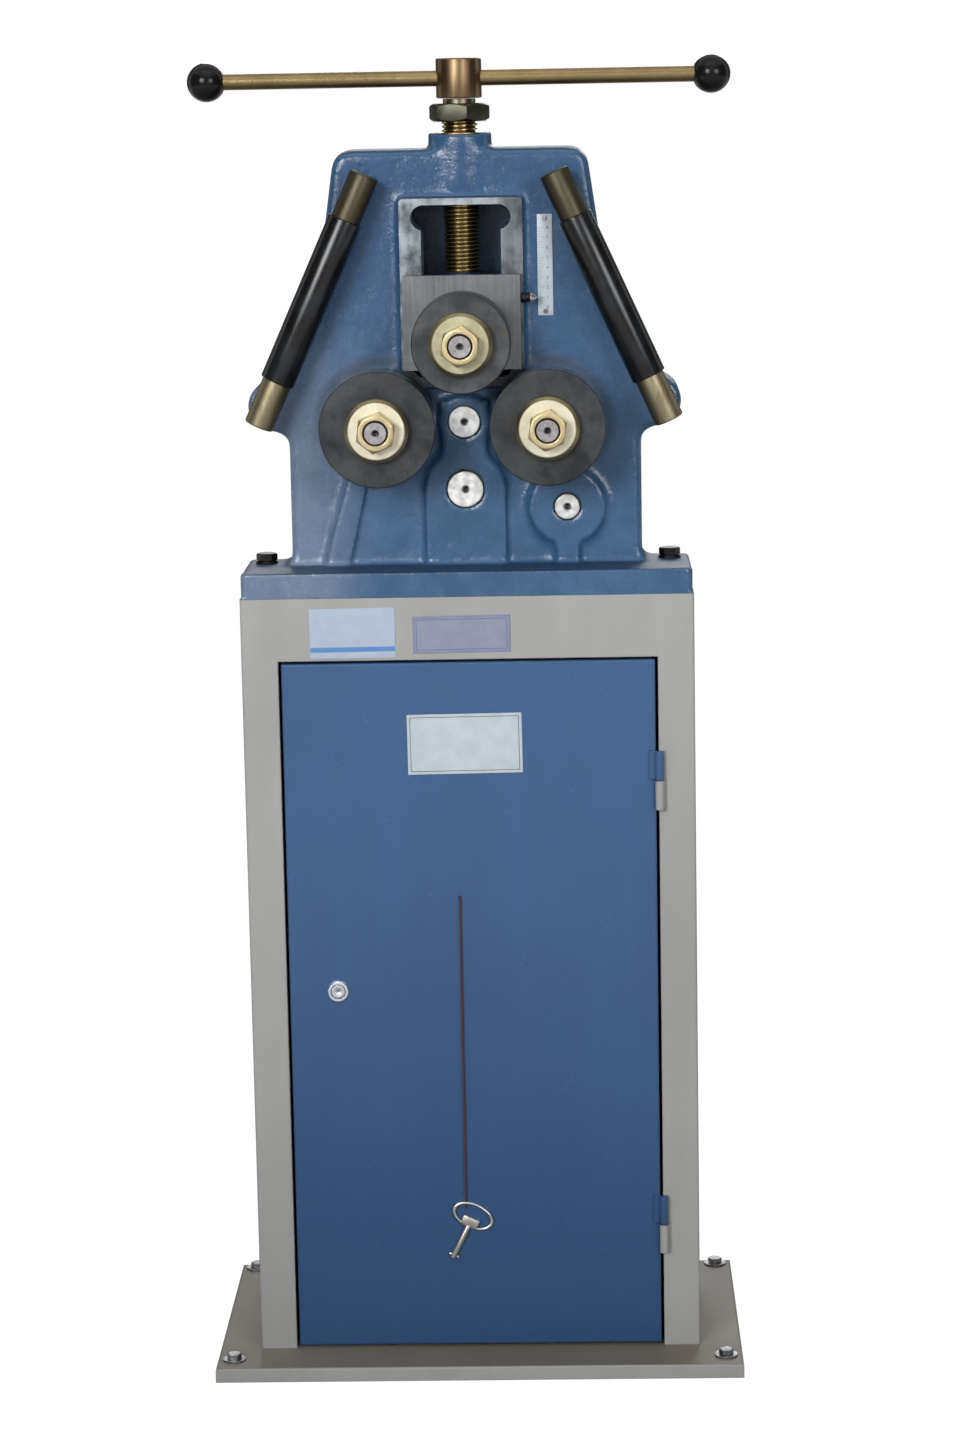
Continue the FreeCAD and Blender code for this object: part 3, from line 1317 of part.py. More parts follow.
bar_reach = V(bar_way).multiply(bar_half_length)
keep("screw_nut", ring(screw_nut_radius, screw_radius + running_fit,
                       V(0, screw_axis_y, boss_top - screw_nut_length), V(0, screw_axis_y, boss_top)))
keep("screw_spindle", screw_spindle())
keep("jam_nut", hexagon(jam_nut_across_flats, V(0, screw_axis_y, jam_nut_bottom),
                        V(0, screw_axis_y, jam_nut_top), 15.0)
     .cut(bar_z(screw_radius, 0, screw_axis_y, jam_nut_bottom - 1, jam_nut_top + 1)))
keep("handle_hub", handle_hub())
keep("handle_bar", round_bar(bar_radius, bar_middle.sub(bar_reach), bar_middle.add(bar_reach)))
keep("ball_knobs", ball_knob(-1), ball_knob(1))

# ---------------------------------------------------------------- export

os.makedirs("parts", exist_ok=True)
for name, shape in nodes.items():
    shape.exportStep("parts/" + name + ".step")
print(len(nodes), "nodes,", sum(len(shape.Solids) for shape in nodes.values()), "solids")
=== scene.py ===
import math

import bpy
import numpy as np
from mathutils import Matrix, Vector


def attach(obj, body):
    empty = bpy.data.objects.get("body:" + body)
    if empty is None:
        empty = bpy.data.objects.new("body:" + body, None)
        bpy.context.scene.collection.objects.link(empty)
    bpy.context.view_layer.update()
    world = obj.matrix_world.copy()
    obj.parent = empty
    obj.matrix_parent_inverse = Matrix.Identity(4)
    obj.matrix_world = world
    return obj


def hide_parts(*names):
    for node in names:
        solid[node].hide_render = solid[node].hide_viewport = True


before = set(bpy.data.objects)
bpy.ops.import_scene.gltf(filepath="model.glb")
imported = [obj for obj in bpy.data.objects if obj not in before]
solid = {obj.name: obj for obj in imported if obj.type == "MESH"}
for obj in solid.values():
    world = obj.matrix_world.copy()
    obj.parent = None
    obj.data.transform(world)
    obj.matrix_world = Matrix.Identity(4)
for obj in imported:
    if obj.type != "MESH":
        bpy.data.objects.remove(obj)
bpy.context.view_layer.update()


# ------------------------------------------------------------------ floor and surround
# A pale studio floor under a white surround. Neither is part of the machine. The camera, glossy
# and transmitted rays see them white, but glossy rays see the floor grey near the machine, a
# painted shadow in its reflections. The floor keeps the machine's soft shadow.

class Shade:
    """One socket of a finish's nodes. Sums on it add Math nodes, and node() adds any other kind."""

    def __init__(self, tree, socket=None):
        self.tree = tree
        self.socket = socket

    def node(self, kind, settings=None, output=0, **sockets):
        """Adds a node, makes its settings, fills its sockets, and gives one of its outputs."""
        made = self.tree.nodes.new("ShaderNode" + kind)
        for name, value in (settings or {}).items():
            setattr(made, name, value)
        for name, value in sockets.items():
            socket = made.inputs[int(name[2:]) if name[:2] == "in" and name[2:].isdigit()
                                 else name.replace("_", " ")]
            if isinstance(value, Shade):
                self.tree.links.new(value.socket, socket)
            else:
                socket.default_value = value
        return Shade(self.tree, made.outputs[output]) if made.outputs else None

    def sum(self, operation, *values):
        return self.node("Math", {"operation": operation},
                         **{"in" + str(index): value for index, value in enumerate(values)})

    def __add__(self, other):
        return self.sum("ADD", self, other)

    def __radd__(self, other):
        return self.sum("ADD", other, self)

    def __sub__(self, other):
        return self.sum("SUBTRACT", self, other)

    def __rsub__(self, other):
        return self.sum("SUBTRACT", other, self)

    def __mul__(self, other):
        return self.sum("MULTIPLY", self, other)

    def larger(self, other):
        return self.sum("MAXIMUM", self, other)

    def step(self, low, high):
        """0 up to low and 1 from high on, smooth in between; high may be the lower one."""
        return self.node("MapRange", {"interpolation_type": "SMOOTHSTEP"}, Value=self,
                         From_Min=low, From_Max=high)

    def reach(self, other):
        """The distance from an axis that this coordinate and another one make."""
        squares = self * self + other * other
        return squares.sum("SQRT", squares)

    def mix(self, first, second):
        """A colour between two, with this socket as the share of the second."""
        return self.node("Mix", {"data_type": "RGBA"}, output=2, in0=self, in6=first, in7=second)

    def place(self, move=(0, 0, 0), scale=(1, 1, 1)):
        """Object coordinates, moved and then scaled."""
        here = self.node("TexCoord", output="Object")
        return self.node("Mapping", Vector=here, Location=move, Scale=scale)

    def noise(self, place, scale, detail=3.0, roughness=0.5):
        return self.node("TexNoise", Vector=place, Scale=scale, Detail=detail, Roughness=roughness)

    def axis(self, index, place):
        """One coordinate of a place."""
        return self.node("SeparateXYZ", output=index, Vector=place)

    def upward(self):
        """How far a face looks up, from 0 to 1."""
        return self.axis(2, self.node("NewGeometry", output="Normal"))

    def edge(self, radius):
        """A normal that shows edges as if they were rounded."""
        return self.node("Bevel", {"samples": 4}, Radius=radius)

    def bump(self, strength, distance, height, normal):
        return self.node("Bump", Strength=strength, Distance=distance, Height=height,
                         Normal=normal)

    def ray(self, kind):
        return self.node("LightPath", output="Is " + kind + " Ray")

    def seen(self):
        """1 for camera, glossy and transmitted rays."""
        return self.ray("Camera").larger(self.ray("Glossy")).larger(self.ray("Transmission"))

    def surface(self, **sockets):
        """Joins a Principled shader to the material's output."""
        shader = self.node("BsdfPrincipled", **sockets)
        self.node("OutputMaterial", Surface=shader)


def finish(name):
    """A new material, and the Shade that fills its nodes."""
    material = bpy.data.materials.new(name)
    material.use_nodes = True
    material.node_tree.nodes.clear()
    return material, Shade(material.node_tree)


floor_paint, floor_shade = finish("studio_floor")
spot = floor_shade.place(move=(0, -0.1, 0))
away = floor_shade.node("VectorMath", {"operation": "LENGTH"}, output=1, in0=spot)
# Near the machine, glossy rays see the floor grey: a painted shadow in its reflections.
painted_shadow_in_gloss = floor_shade.ray("Glossy") * (1 - away.step(0.5, 3.6)) * 0.85
lit_floor = floor_shade.node("BsdfDiffuse", Color=(0.55, 0.55, 0.55, 1))
white_floor = floor_shade.node("Emission", Strength=1.24,
                               Color=painted_shadow_in_gloss.mix((1, 1, 1, 1), (0.12, 0.12, 0.12, 1)))
floor_shade.node("OutputMaterial", Surface=floor_shade.node(
    "MixShader", in0=floor_shade.seen() * 0.8, in1=lit_floor, in2=white_floor))

bpy.ops.object.select_all(action="DESELECT")
bpy.ops.mesh.primitive_plane_add(size=80, location=(0, 0, -0.0004))
floor = bpy.context.object
floor.name = "studio_floor"
floor.data.materials.append(floor_paint)

surround = bpy.data.worlds.new("surround")
surround.use_nodes = True
surround.node_tree.nodes.clear()
sky = Shade(surround.node_tree)
soft_light = sky.node("Background", Color=(1, 1, 1, 1), Strength=0.20)
white_wall = sky.node("Background", Color=(1, 1, 1, 1), Strength=1.0)
sky.node("OutputWorld", Surface=sky.node("MixShader", in0=sky.seen(), in1=soft_light,
                                         in2=white_wall))
bpy.context.scene.world = surround
bpy.context.scene.view_settings.view_transform = "Standard"

# ------------------------------------------------------------------ lamps and view
# Soft lamps stand in front at both sides, above and behind, as in a plain studio. Four screens
# show in gloss only, the side and back ones dark, so that round and level metal has shape.


def lamp(name, place, aim, width, height, watts, spread=180):
    """Rectangular soft lamp that faces a point."""
    data = bpy.data.lights.new(name, "AREA")
    data.shape = "RECTANGLE"
    data.size = width
    data.size_y = height
    data.energy = watts
    data.spread = math.radians(spread)
    made = bpy.data.objects.new(name, data)
    bpy.context.scene.collection.objects.link(made)
    made.location = place
    made.rotation_euler = (Vector(aim) - Vector(place)).to_track_quat("-Z", "Y").to_euler()
    return made


lamp("left_lamp", (-1.9, -4.5, 2.4), (0, 0, 1.02), 2.0, 2.0, 12.4, 38)
lamp("right_lamp", (2.6, -4.3, 2.2), (0, 0, 1.02), 2.0, 2.0, 6.8, 38)
lamp("top_lamp", (0.0, -1.3, 3.9), (0, 0, 1.0), 2.4, 1.2, 10)
lamp("back_lamp", (0.4, 3.6, 2.6), (0, 0, 0.9), 2.4, 1.8, 60)

for name, glow, corner, end in (("front", 0.50, (-3.4, -7.6), (3.4, -7.6)),
                                ("left", 0.035, (-6.6, 1.2), (-3.4, -7.6)),
                                ("right", 0.035, (3.4, -7.6), (6.6, 1.2)),
                                ("back", 0.12, (7.5, 4.6), (-7.5, 4.6))):
    cloth, cloth_shade = finish("studio_" + name + "_screen")
    cloth_shade.node("OutputMaterial", Surface=cloth_shade.node(
        "Emission", Color=(1, 1, 1, 1), Strength=glow))
    bpy.ops.object.select_all(action="DESELECT")
    bpy.ops.mesh.primitive_plane_add(size=1)
    screen = bpy.context.object
    run = Vector(end) - Vector(corner)
    middle = ((corner[0] + end[0]) / 2, (corner[1] + end[1]) / 2, 2.9)
    screen.matrix_world = (Matrix.Translation(middle)
                           @ Matrix.Rotation(math.atan2(run.y, run.x), 4, "Z")
                           @ Matrix.Rotation(math.radians(90), 4, "X")
                           @ Matrix.Diagonal((run.length, 6.6, 1, 1)))
    screen.name = "studio_" + name + "_screen"
    screen.data.materials.append(cloth)
    screen.visible_camera = False
    screen.visible_diffuse = False
    screen.visible_transmission = False
    screen.visible_shadow = False

view_data = bpy.data.cameras.new("view")
view_data.lens = 91.64
view_data.clip_end = 200
view = bpy.data.objects.new("view", view_data)
bpy.context.scene.collection.objects.link(view)
view_right = Vector((0.99957, 0.02270, -0.01838))
view_up = Vector((0.01408, 0.17680, 0.98415))
view_ahead = Vector((-0.02559, 0.98399, -0.17640))
view.matrix_world = (Matrix.Translation((0.10692, -3.77828, 1.34116))
                     @ Matrix((view_right, view_up, -view_ahead)).transposed().to_4x4())
bpy.context.scene.camera = view

# ------------------------------------------------------------------ base plate and cabinet
# The stand is a steel floor plate with a welded sheet cabinet on it. Both are sprayed a warm
# light grey, semi-gloss, with the fine orange peel of shop paint and a few rubbed spots.


def paint(piece, *materials):
    """Gives a piece these finishes in place of its own."""
    piece.data.materials.clear()
    for material in materials:
        piece.data.materials.append(material)
    return piece


def dress(material, *names):
    """Gives plain solids their finish."""
    for name in names:
        paint(solid[name], material)


def sprayed(name, colour, dusty, gloss, soft_edge, peel=0.12,
            dust_and_top_shade=None, shine=0.5, deep=None):
    """Sprayed paint on sheet: slight clouding, orange peel, rubbed spots, dust and painted shade on
    the faces that look up, and with deep a painted shade that darkens it towards the foot."""
    paint, shade = finish(name)
    here = shade.place()
    cloud = shade.noise(here, 3.5, 4.0, 0.55)
    fine = shade.noise(here, 420.0, 2.0, 0.5)
    streak = shade.noise(shade.place(scale=(9, 9, 0.7)), 2.0, 5.0, 0.6)
    rubbed = shade.noise(here, 26.0, 6.0, 0.62).step(0.62, 0.80) * 0.35
    dark = tuple(0.93 * part for part in colour) + (1,)
    light = tuple(min(1, 1.05 * part) for part in colour) + (1,)
    tone = (cloud * 0.6 + streak * 0.4).step(0.38, 0.62).mix(dark, light)
    tone = rubbed.mix(tone, dusty + (1,))
    # Darker towards the foot: painted shade.
    if deep:
        foot = shade.axis(2, here).step(0.42, 0.02)
        tone = foot.mix(tone, deep + (1,))
    # Darker, browner faces that look up: dust and painted shade.
    if dust_and_top_shade:
        film = shade.upward().step(0.6, 0.95) * (cloud.step(0.25, 0.7) * 0.35 + 0.6)
        tone = film.mix(tone, dust_and_top_shade + (1,))
    shade.surface(Base_Color=tone, Roughness=cloud * 0.12 + (gloss + rubbed * 0.2),
                  Normal=shade.bump(peel, 0.0006, fine, shade.edge(soft_edge)),
                  Specular_IOR_Level=shine)
    return paint


# Its faces that look up are painted darker and browner: dust and painted shade.
stand_grey = sprayed("stand_grey_paint", (0.340, 0.340, 0.330), (0.40, 0.39, 0.37), 0.42, 0.0018,
                     dust_and_top_shade=(0.195, 0.170, 0.130), shine=0.3)
dress(stand_grey, "base_plate", "cabinet_body", "frame_hinges")

# ------------------------------------------------------------------ floor bolts
# Zinc-plated hexagon bolts and washers hold the base plate to the floor. Two larger black bolts
# hold the head on the cabinet.


def plated(name, colour, second, rough, soft_edge, stain=0.5, scale=60.0, grit=0.12,
           stretch=(1, 1, 1), fade=None):
    """Electroplated or blackened steel: two tones in clouds, fine tool grain, soft edges, and
    with fade a third tone that sets in between two heights."""
    metal, shade = finish(name)
    here = shade.place(scale=stretch)
    cloud = shade.noise(here, scale, 5.0, 0.6)
    spots = shade.noise(here, scale * 4.2, 3.0, 0.6)
    grain = shade.noise(here, 1500.0, 2.0, 0.5)
    tone = (cloud * 0.75 + spots * 0.25).step(0.5 - 0.22 * stain, 0.5 + 0.22 * stain)
    skin = shade.bump(grit, 0.0002, grain + spots, shade.edge(soft_edge))
    tone = tone.mix(colour + (1,), second + (1,))
    if fade:
        low, high, third = fade
        tone = shade.axis(2, shade.place()).step(low, high).mix(tone, third + (1,))
    shade.surface(Base_Color=tone, Metallic=1.0, Roughness=cloud * 0.16 + (rough - 0.05),
                  Normal=skin)
    return metal


bolt_zinc = plated("bolt_zinc", (0.40, 0.41, 0.41), (0.20, 0.205, 0.21), 0.34, 0.0006)
black_oxide = plated("black_oxide", (0.030, 0.030, 0.032), (0.016, 0.016, 0.018), 0.38, 0.0006)
dress(bolt_zinc, "floor_bolts", "washers", "slide_screws", "screw_retainer")
dress(black_oxide, "head_bolts", "cap_screws")
solid["washers"].data.materials.append(black_oxide)
for face in solid["washers"].data.polygons:
    face.material_index = int(face.center.z > 0.5)

# ------------------------------------------------------------------ door, hinges and lock
# The door is a pressed sheet with its edges folded back, sprayed a deep blue. It hangs on two
# lift-off hinges, and has a round cam lock of bright zinc.

# Its blue is painted darker towards the foot: painted shade.
door_blue = sprayed("door_blue_paint", (0.035, 0.093, 0.210), (0.050, 0.108, 0.215), 0.20, 0.0030,
                    peel=0.05, deep=(0.024, 0.074, 0.178))
dress(door_blue, "door_panel", "door_hinges")
lock_zinc = plated("lock_zinc", (0.80, 0.84, 0.90), (0.68, 0.71, 0.77), 0.34, 0.0003)
core_zinc = plated("lock_core_zinc", (0.74, 0.76, 0.80), (0.60, 0.61, 0.64), 0.32, 0.0003)
dress(lock_zinc, "lock_cam")

# ------------------------------------------------------------------ key on its cord
# The cabinet's key hangs on a thin brown cord that comes through a hole in the door. Its bow is a
# bent wire, brazed into a small block with a round shank and a cross pin.


def keep_one(piece):
    """Makes a piece the only selected and the active one."""
    bpy.ops.object.select_all(action="DESELECT")
    piece.select_set(True)
    bpy.context.view_layer.objects.active = piece


def settle(piece):
    """Applies a piece's own place, turn and size to its mesh."""
    keep_one(piece)
    bpy.ops.object.transform_apply(location=True, rotation=True, scale=True)


def work(piece, kind, **settings):
    """Adds a modifier with these settings and applies it at once."""
    keep_one(piece)
    step = piece.modifiers.new("work", kind)
    for name, value in settings.items():
        setattr(step, name, value)
    bpy.ops.object.modifier_apply(modifier="work")


def block(x0, x1, y0, y1, z0, z1):
    """Plain rectangular tool or blank between two corners."""
    bpy.ops.object.select_all(action="DESELECT")
    bpy.ops.mesh.primitive_cube_add(size=1, location=((x0 + x1) / 2, (y0 + y1) / 2, (z0 + z1) / 2))
    made = bpy.context.object
    made.scale = (x1 - x0, y1 - y0, z1 - z0)
    bpy.ops.object.transform_apply(location=True, rotation=False, scale=True)
    return made


def join(parts):
    """Joins parts into the first one."""
    bpy.ops.object.select_all(action="DESELECT")
    for part in parts:
        part.select_set(True)
    bpy.context.view_layer.objects.active = parts[0]
    bpy.ops.object.join()
    return parts[0]


def lay(piece, name, material, body, stands_for=(), angle=32):
    """Settles a finished piece at the origin, shades it, and hangs it on its body."""
    settle(piece)
    if piece.type == "MESH":
        bpy.ops.object.shade_smooth_by_angle(angle=math.radians(angle))
    piece.name = name
    piece.data.name = name
    if material:
        paint(piece, material)
    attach(piece, body)
    if stands_for:
        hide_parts(*stands_for)
    return piece


cord_brown, cord_shade = finish("cord_brown")
strand = cord_shade.node("TexWave", {"wave_type": "BANDS", "bands_direction": "DIAGONAL"},
                         Vector=cord_shade.place(), Scale=900.0, Distortion=1.0)
cord_shade.surface(Base_Color=strand.mix((0.050, 0.018, 0.018, 1), (0.105, 0.045, 0.040, 1)),
                   Roughness=0.85,
                   Normal=cord_shade.node("Bump", Strength=0.5, Distance=0.0003, Height=strand))

cord_route = [(-0.0124, -0.1060, 0.4983), (-0.0124, -0.1106, 0.4983),
              (-0.0124, -0.1106, 0.4937), (-0.0124, -0.1106, 0.16669)]
cord_data = bpy.data.curves.new("key_cord_line", "CURVE")
cord_data.dimensions = "3D"
cord_data.bevel_depth = 0.001
cord_data.bevel_resolution = 3
cord_data.use_fill_caps = True
cord_line = cord_data.splines.new("NURBS")
cord_line.points.add(len(cord_route) - 1)
for point, place in zip(cord_line.points, cord_route):
    point.co = place + (1,)
cord_line.order_u = 3
cord_line.use_endpoint_u = True
cord_line.resolution_u = 24
cord_piece = bpy.data.objects.new("cord", cord_data)
bpy.context.scene.collection.objects.link(cord_piece)
lay(cord_piece, "door_key_cord", cord_brown, "door", ["key_cord"])

key_metal = plated("key_metal", (0.74, 0.71, 0.66), (0.56, 0.53, 0.48), 0.34, 0.0004)
key_middle = Vector((-0.0059, -0.1106, 0.1577))
key_tilt = math.radians(25.8)
bpy.ops.object.select_all(action="DESELECT")
bpy.ops.mesh.primitive_torus_add(major_radius=0.0175, minor_radius=0.0016, major_segments=72,
                                 minor_segments=12, rotation=(math.radians(90), 0, 0))
key_bow = bpy.context.object
bpy.ops.object.transform_apply(location=False, rotation=True, scale=False)
bpy.ops.object.mode_set(mode="EDIT")
bpy.ops.mesh.select_all(action="SELECT")
bpy.ops.transform.resize(value=(1.19, 1.0, 0.70))
bpy.ops.transform.translate(value=(0, 0, 0.0012))
bpy.ops.object.mode_set(mode="OBJECT")
key_block = block(-0.0089, 0.0089, -0.0025, 0.0025, -0.0105, -0.0011)
work(key_block, "BEVEL", width=0.0007, segments=2)
bpy.ops.mesh.primitive_cylinder_add(vertices=32, radius=0.0031, depth=0.0385,
                                    location=(0, 0, -0.0293))
key_shank = bpy.context.object
work(key_shank, "BEVEL", width=0.0004, segments=2)
bpy.ops.mesh.primitive_cylinder_add(vertices=20, radius=0.0013, depth=0.0110,
                                    location=(0, 0, -0.0458), rotation=(0, math.radians(90), 0))
key_pin = bpy.context.object
work(key_pin, "BEVEL", width=0.0004, segments=2)
key_bow = join([key_bow, key_block, key_shank, key_pin])
key_bow.matrix_world = (Matrix.Translation(key_middle)
                        @ Matrix.Rotation(key_tilt, 4, "Y") @ key_bow.matrix_world)
lay(key_bow, "door_key", key_metal, "door", ["key"])

# ------------------------------------------------------------------ blank plates
# Three thin plates are glued to the cabinet and its door. They are blank but for plain frames and
# one stripe.


def printed(name, pale, dark, size=60.0, low=0.32):
    """Printed film or ink, slightly clouded."""
    film, shade = finish(name)
    cloud = shade.noise(shade.place(), size, 4.0, 0.6)
    shade.surface(Base_Color=cloud.step(low, 0.7).mix(pale + (1,), dark + (1,)),
                  Roughness=cloud * 0.15 + 0.30)
    return film


white_film = printed("plate_white", (0.40, 0.46, 0.57), (0.36, 0.42, 0.52))
silver_film = printed("plate_silver", (0.245, 0.265, 0.345), (0.215, 0.235, 0.310))
pale_film = printed("plate_pale", (0.50, 0.56, 0.60), (0.44, 0.50, 0.54))
light_ink = printed("plate_light_ink", (0.075, 0.210, 0.480), (0.095, 0.230, 0.500))
violet_ink = printed("plate_violet_ink", (0.080, 0.100, 0.300), (0.100, 0.120, 0.340))
dark_ink = printed("plate_dark_ink", (0.050, 0.060, 0.075), (0.070, 0.080, 0.095))


def bordered_plate(x0, x1, z0, z1, turn, film, ink, borders=(), band=None):
    """Thin plate with printed frames; borders lists each frame's (inset, line width), and band
    is a stripe's lower and upper height."""
    plate = paint(block(x0, x1, -0.1089, -0.1081, z0, z1), film)
    ink_front, ink_back = -0.10894, -0.1088
    lines = []
    for inset, line in borders:
        a, b, c, d = x0 + inset, x1 - inset, z0 + inset, z1 - inset
        lines += [block(a, b, ink_front, ink_back, c, c + line),
                  block(a, b, ink_front, ink_back, d - line, d),
                  block(a, a + line, ink_front, ink_back, c + line, d - line),
                  block(b - line, b, ink_front, ink_back, c + line, d - line)]
    if band:
        lines.append(block(x0 + 0.0006, x1 - 0.0006, ink_front, ink_back, *band))
    for line in lines:
        paint(line, ink)
    work(plate, "BEVEL", width=0.0002, segments=1)
    made = join([plate] + lines)
    keep_one(made)
    bpy.ops.transform.rotate(value=math.radians(turn), orient_axis="Y",
                             center_override=((x0 + x1) / 2, -0.1085, (z0 + z1) / 2))
    settle(made)
    return made


left_plate = bordered_plate(-0.160, -0.073, 0.749, 0.800, 0.4, white_film, light_ink,
                            band=(0.7553, 0.7602))
middle_plate = bordered_plate(-0.055, 0.044, 0.753, 0.791, 0.5, silver_film, violet_ink,
                              [(0.0010, 0.0004), (0.0032, 0.0007)])
lay(join([left_plate, middle_plate]), "stand_plates", None, "stand", ["name_plates"])
door_plate = bordered_plate(-0.063, 0.054, 0.628, 0.690, 0.5, pale_film, dark_ink,
                            [(0.0028, 0.0007)])
lay(door_plate, "door_plate", None, "door", ["door_label"])

# ------------------------------------------------------------------ head casting
# The head is a cast-iron body with raised bosses, filled and painted in a thick glossy blue. Only
# the guide pad on its front and the slot through it are milled bare after the painting.

roll_apart = 0.085
roll_height = 0.9833
screw_y = -0.030
backward = (0, 1, 0)
upright = (0, 0, 1)

head_blue, blue_shade = finish("head_blue_paint")
here = blue_shade.place()
drift = blue_shade.noise(here, 9.0, 3.0, 0.55)
patch = blue_shade.noise(here, 34.0, 5.0, 0.6)
dimple = blue_shade.noise(here, 130.0, 3.0, 0.55)
peel = blue_shade.noise(here, 520.0, 2.0, 0.5)
tone = (drift * 0.45 + patch * 0.55).step(0.36, 0.66)
tone = tone.mix((0.030, 0.086, 0.172, 1), (0.054, 0.122, 0.232, 1))
height = blue_shade.axis(2, here)
side = blue_shade.axis(0, here)
# The upper part of the head is painted a darker, deeper blue: painted shade.
painted_upper_shade = height.step(1.02, 1.18) * (drift * 0.8 + 0.2)
tone = painted_upper_shade.mix(tone, (0.022, 0.068, 0.150, 1))
# The lower left of the head is painted paler and greyer: a painted sheen.
painted_sheen = side.step(-0.080, -0.170) * height.step(1.12, 0.96) * (patch * 0.9 + 0.2)
tone = painted_sheen.mix(tone, (0.185, 0.225, 0.315, 1))
# Faces that look up are painted darker: painted shade.
level = blue_shade.upward().step(0.6, 0.9)
tone = (level * 0.75).mix(tone, (0.010, 0.034, 0.075, 1))
# A ring round each lower roll on the front face is painted darker: a painted shadow.
from_roll = (side.sum("ABSOLUTE", side) - roll_apart).reach(height - roll_height)
ahead = blue_shade.axis(1, here).step(-0.020, -0.040)
painted_roll_shadow = from_roll.step(0.074, 0.060) * ahead * (patch * 0.8 + 0.3)
tone = painted_roll_shadow.mix(tone, (0.010, 0.028, 0.060, 1))
worn = patch.step(0.70, 0.80) * dimple.step(0.45, 0.65) * 0.20
tone = worn.mix(tone, (0.10, 0.165, 0.28, 1))
waves = blue_shade.bump(0.60, 0.0030, patch, blue_shade.edge(0.0008))
waves = blue_shade.bump(0.26, 0.0010, dimple, waves)
waves = blue_shade.bump(0.05, 0.0005, peel, waves)
matt = painted_roll_shadow * 0.35 + level * 0.30 + dimple * 0.16 + 0.18
blue_shade.surface(Base_Color=tone, Roughness=matt, Normal=waves, Specular_IOR_Level=0.42)

bare_iron, iron_shade = finish("milled_iron")
here = iron_shade.place()
blotch = iron_shade.noise(here, 38.0, 4.0, 0.62)
smear = iron_shade.noise(iron_shade.place(scale=(1, 1, 0.22)), 90.0, 5.0, 0.65)
grain = iron_shade.noise(iron_shade.place(scale=(1, 1, 0.05)), 900.0, 2.0, 0.5)
tone = (blotch * 0.6 + smear * 0.4).step(0.38, 0.64)
tone = tone.mix((0.066, 0.076, 0.085, 1), (0.29, 0.32, 0.345, 1))
shaded = iron_shade.axis(0, here).step(0.030, 0.046) * 0.55
tone = shaded.mix(tone, (0.065, 0.070, 0.076, 1))
# The pad is painted near black below the slide block: oily dirt and painted shade.
grease_and_shade = iron_shade.axis(2, here).step(1.041, 1.033) * (blotch * 0.3 + 0.72)
tone = grease_and_shade.mix(tone, (0.020, 0.022, 0.026, 1))
iron_shade.surface(Base_Color=tone, Metallic=0.9, Roughness=blotch * 0.3 + 0.22,
                   Normal=iron_shade.node("Bump", Strength=0.15, Distance=0.0002, Height=grain))

slot_iron, slot_shade = finish("slot_iron")
here = slot_shade.place()
scale_rust = slot_shade.noise(here, 55.0, 5.0, 0.65)
tone = scale_rust.step(0.35, 0.7).mix((0.096, 0.150, 0.180, 1), (0.200, 0.280, 0.320, 1))
slot_shade.surface(Base_Color=tone, Metallic=0.6, Roughness=scale_rust * 0.2 + 0.42,
                   Normal=slot_shade.node("Bump", Strength=0.3, Distance=0.0003,
                                          Height=scale_rust))


def drill(radius, x, z, y0, y1, sides=64):
    """Round tool along Y."""
    bpy.ops.object.select_all(action="DESELECT")
    bpy.ops.mesh.primitive_cylinder_add(vertices=sides, radius=radius, depth=y1 - y0,
                                        location=(x, (y0 + y1) / 2, z),
                                        rotation=(math.radians(90), 0, 0))
    made = bpy.context.object
    bpy.ops.object.transform_apply(location=True, rotation=True, scale=True)
    return made


def cut(piece, tool, operation="DIFFERENCE", material=None):
    """Cuts a piece with a tool, which leaves its own finish on the cut faces."""
    if material:
        paint(tool, material)
    work(piece, "BOOLEAN", object=tool, operation=operation, solver="EXACT",
         material_mode="TRANSFER")
    bpy.data.objects.remove(tool)


def aim(piece, start, way):
    """Settles a piece with its own Z along a way from a start."""
    piece.matrix_world = (Matrix.Translation(start)
                          @ Vector(way).to_track_quat("Z", "Y").to_matrix().to_4x4())
    settle(piece)
    return piece


def turned(profile, start, way, sides=96, rounding=0.0):
    """Turns a piece: each ring is extruded from the last one and resized. profile lists
    (radius, distance from start); a profile that ends where it began makes a hollow piece."""
    bpy.ops.object.select_all(action="DESELECT")
    bpy.ops.mesh.primitive_circle_add(vertices=sides, radius=profile[0][0])
    made = bpy.context.object
    bpy.ops.object.mode_set(mode="EDIT")
    bpy.ops.mesh.select_all(action="SELECT")
    bpy.ops.transform.translate(value=(0, 0, profile[0][1]))
    for (last_radius, last), (radius, distance) in zip(profile, profile[1:]):
        rise = (0, 0, distance - last)
        bpy.ops.mesh.extrude_region_move(TRANSFORM_OT_translate={"value": rise})
        bpy.ops.transform.resize(value=(radius / last_radius, radius / last_radius, 1))
    bpy.ops.mesh.select_all(action="SELECT")
    bpy.ops.mesh.remove_doubles(threshold=0.000001)
    if profile[0] != profile[-1]:
        bpy.ops.mesh.fill_holes(sides=0)
    bpy.ops.mesh.select_all(action="SELECT")
    bpy.ops.mesh.normals_make_consistent(inside=False)
    bpy.ops.object.mode_set(mode="OBJECT")
    if rounding:
        work(made, "BEVEL", width=rounding, segments=2, limit_method="ANGLE",
             angle_limit=math.radians(28))
    return aim(made, start, way)


def blank_of(name):
    """A loose copy of a plain solid, with its triangles merged, to be worked on."""
    made = bpy.data.objects.new(name, solid[name].data.copy())
    bpy.context.scene.collection.objects.link(made)
    keep_one(made)
    bpy.ops.object.mode_set(mode="EDIT")
    bpy.ops.mesh.select_all(action="SELECT")
    bpy.ops.mesh.remove_doubles(threshold=0.00001)
    bpy.ops.object.mode_set(mode="OBJECT")
    bpy.ops.mesh.customdata_custom_splitnormals_clear()
    return made


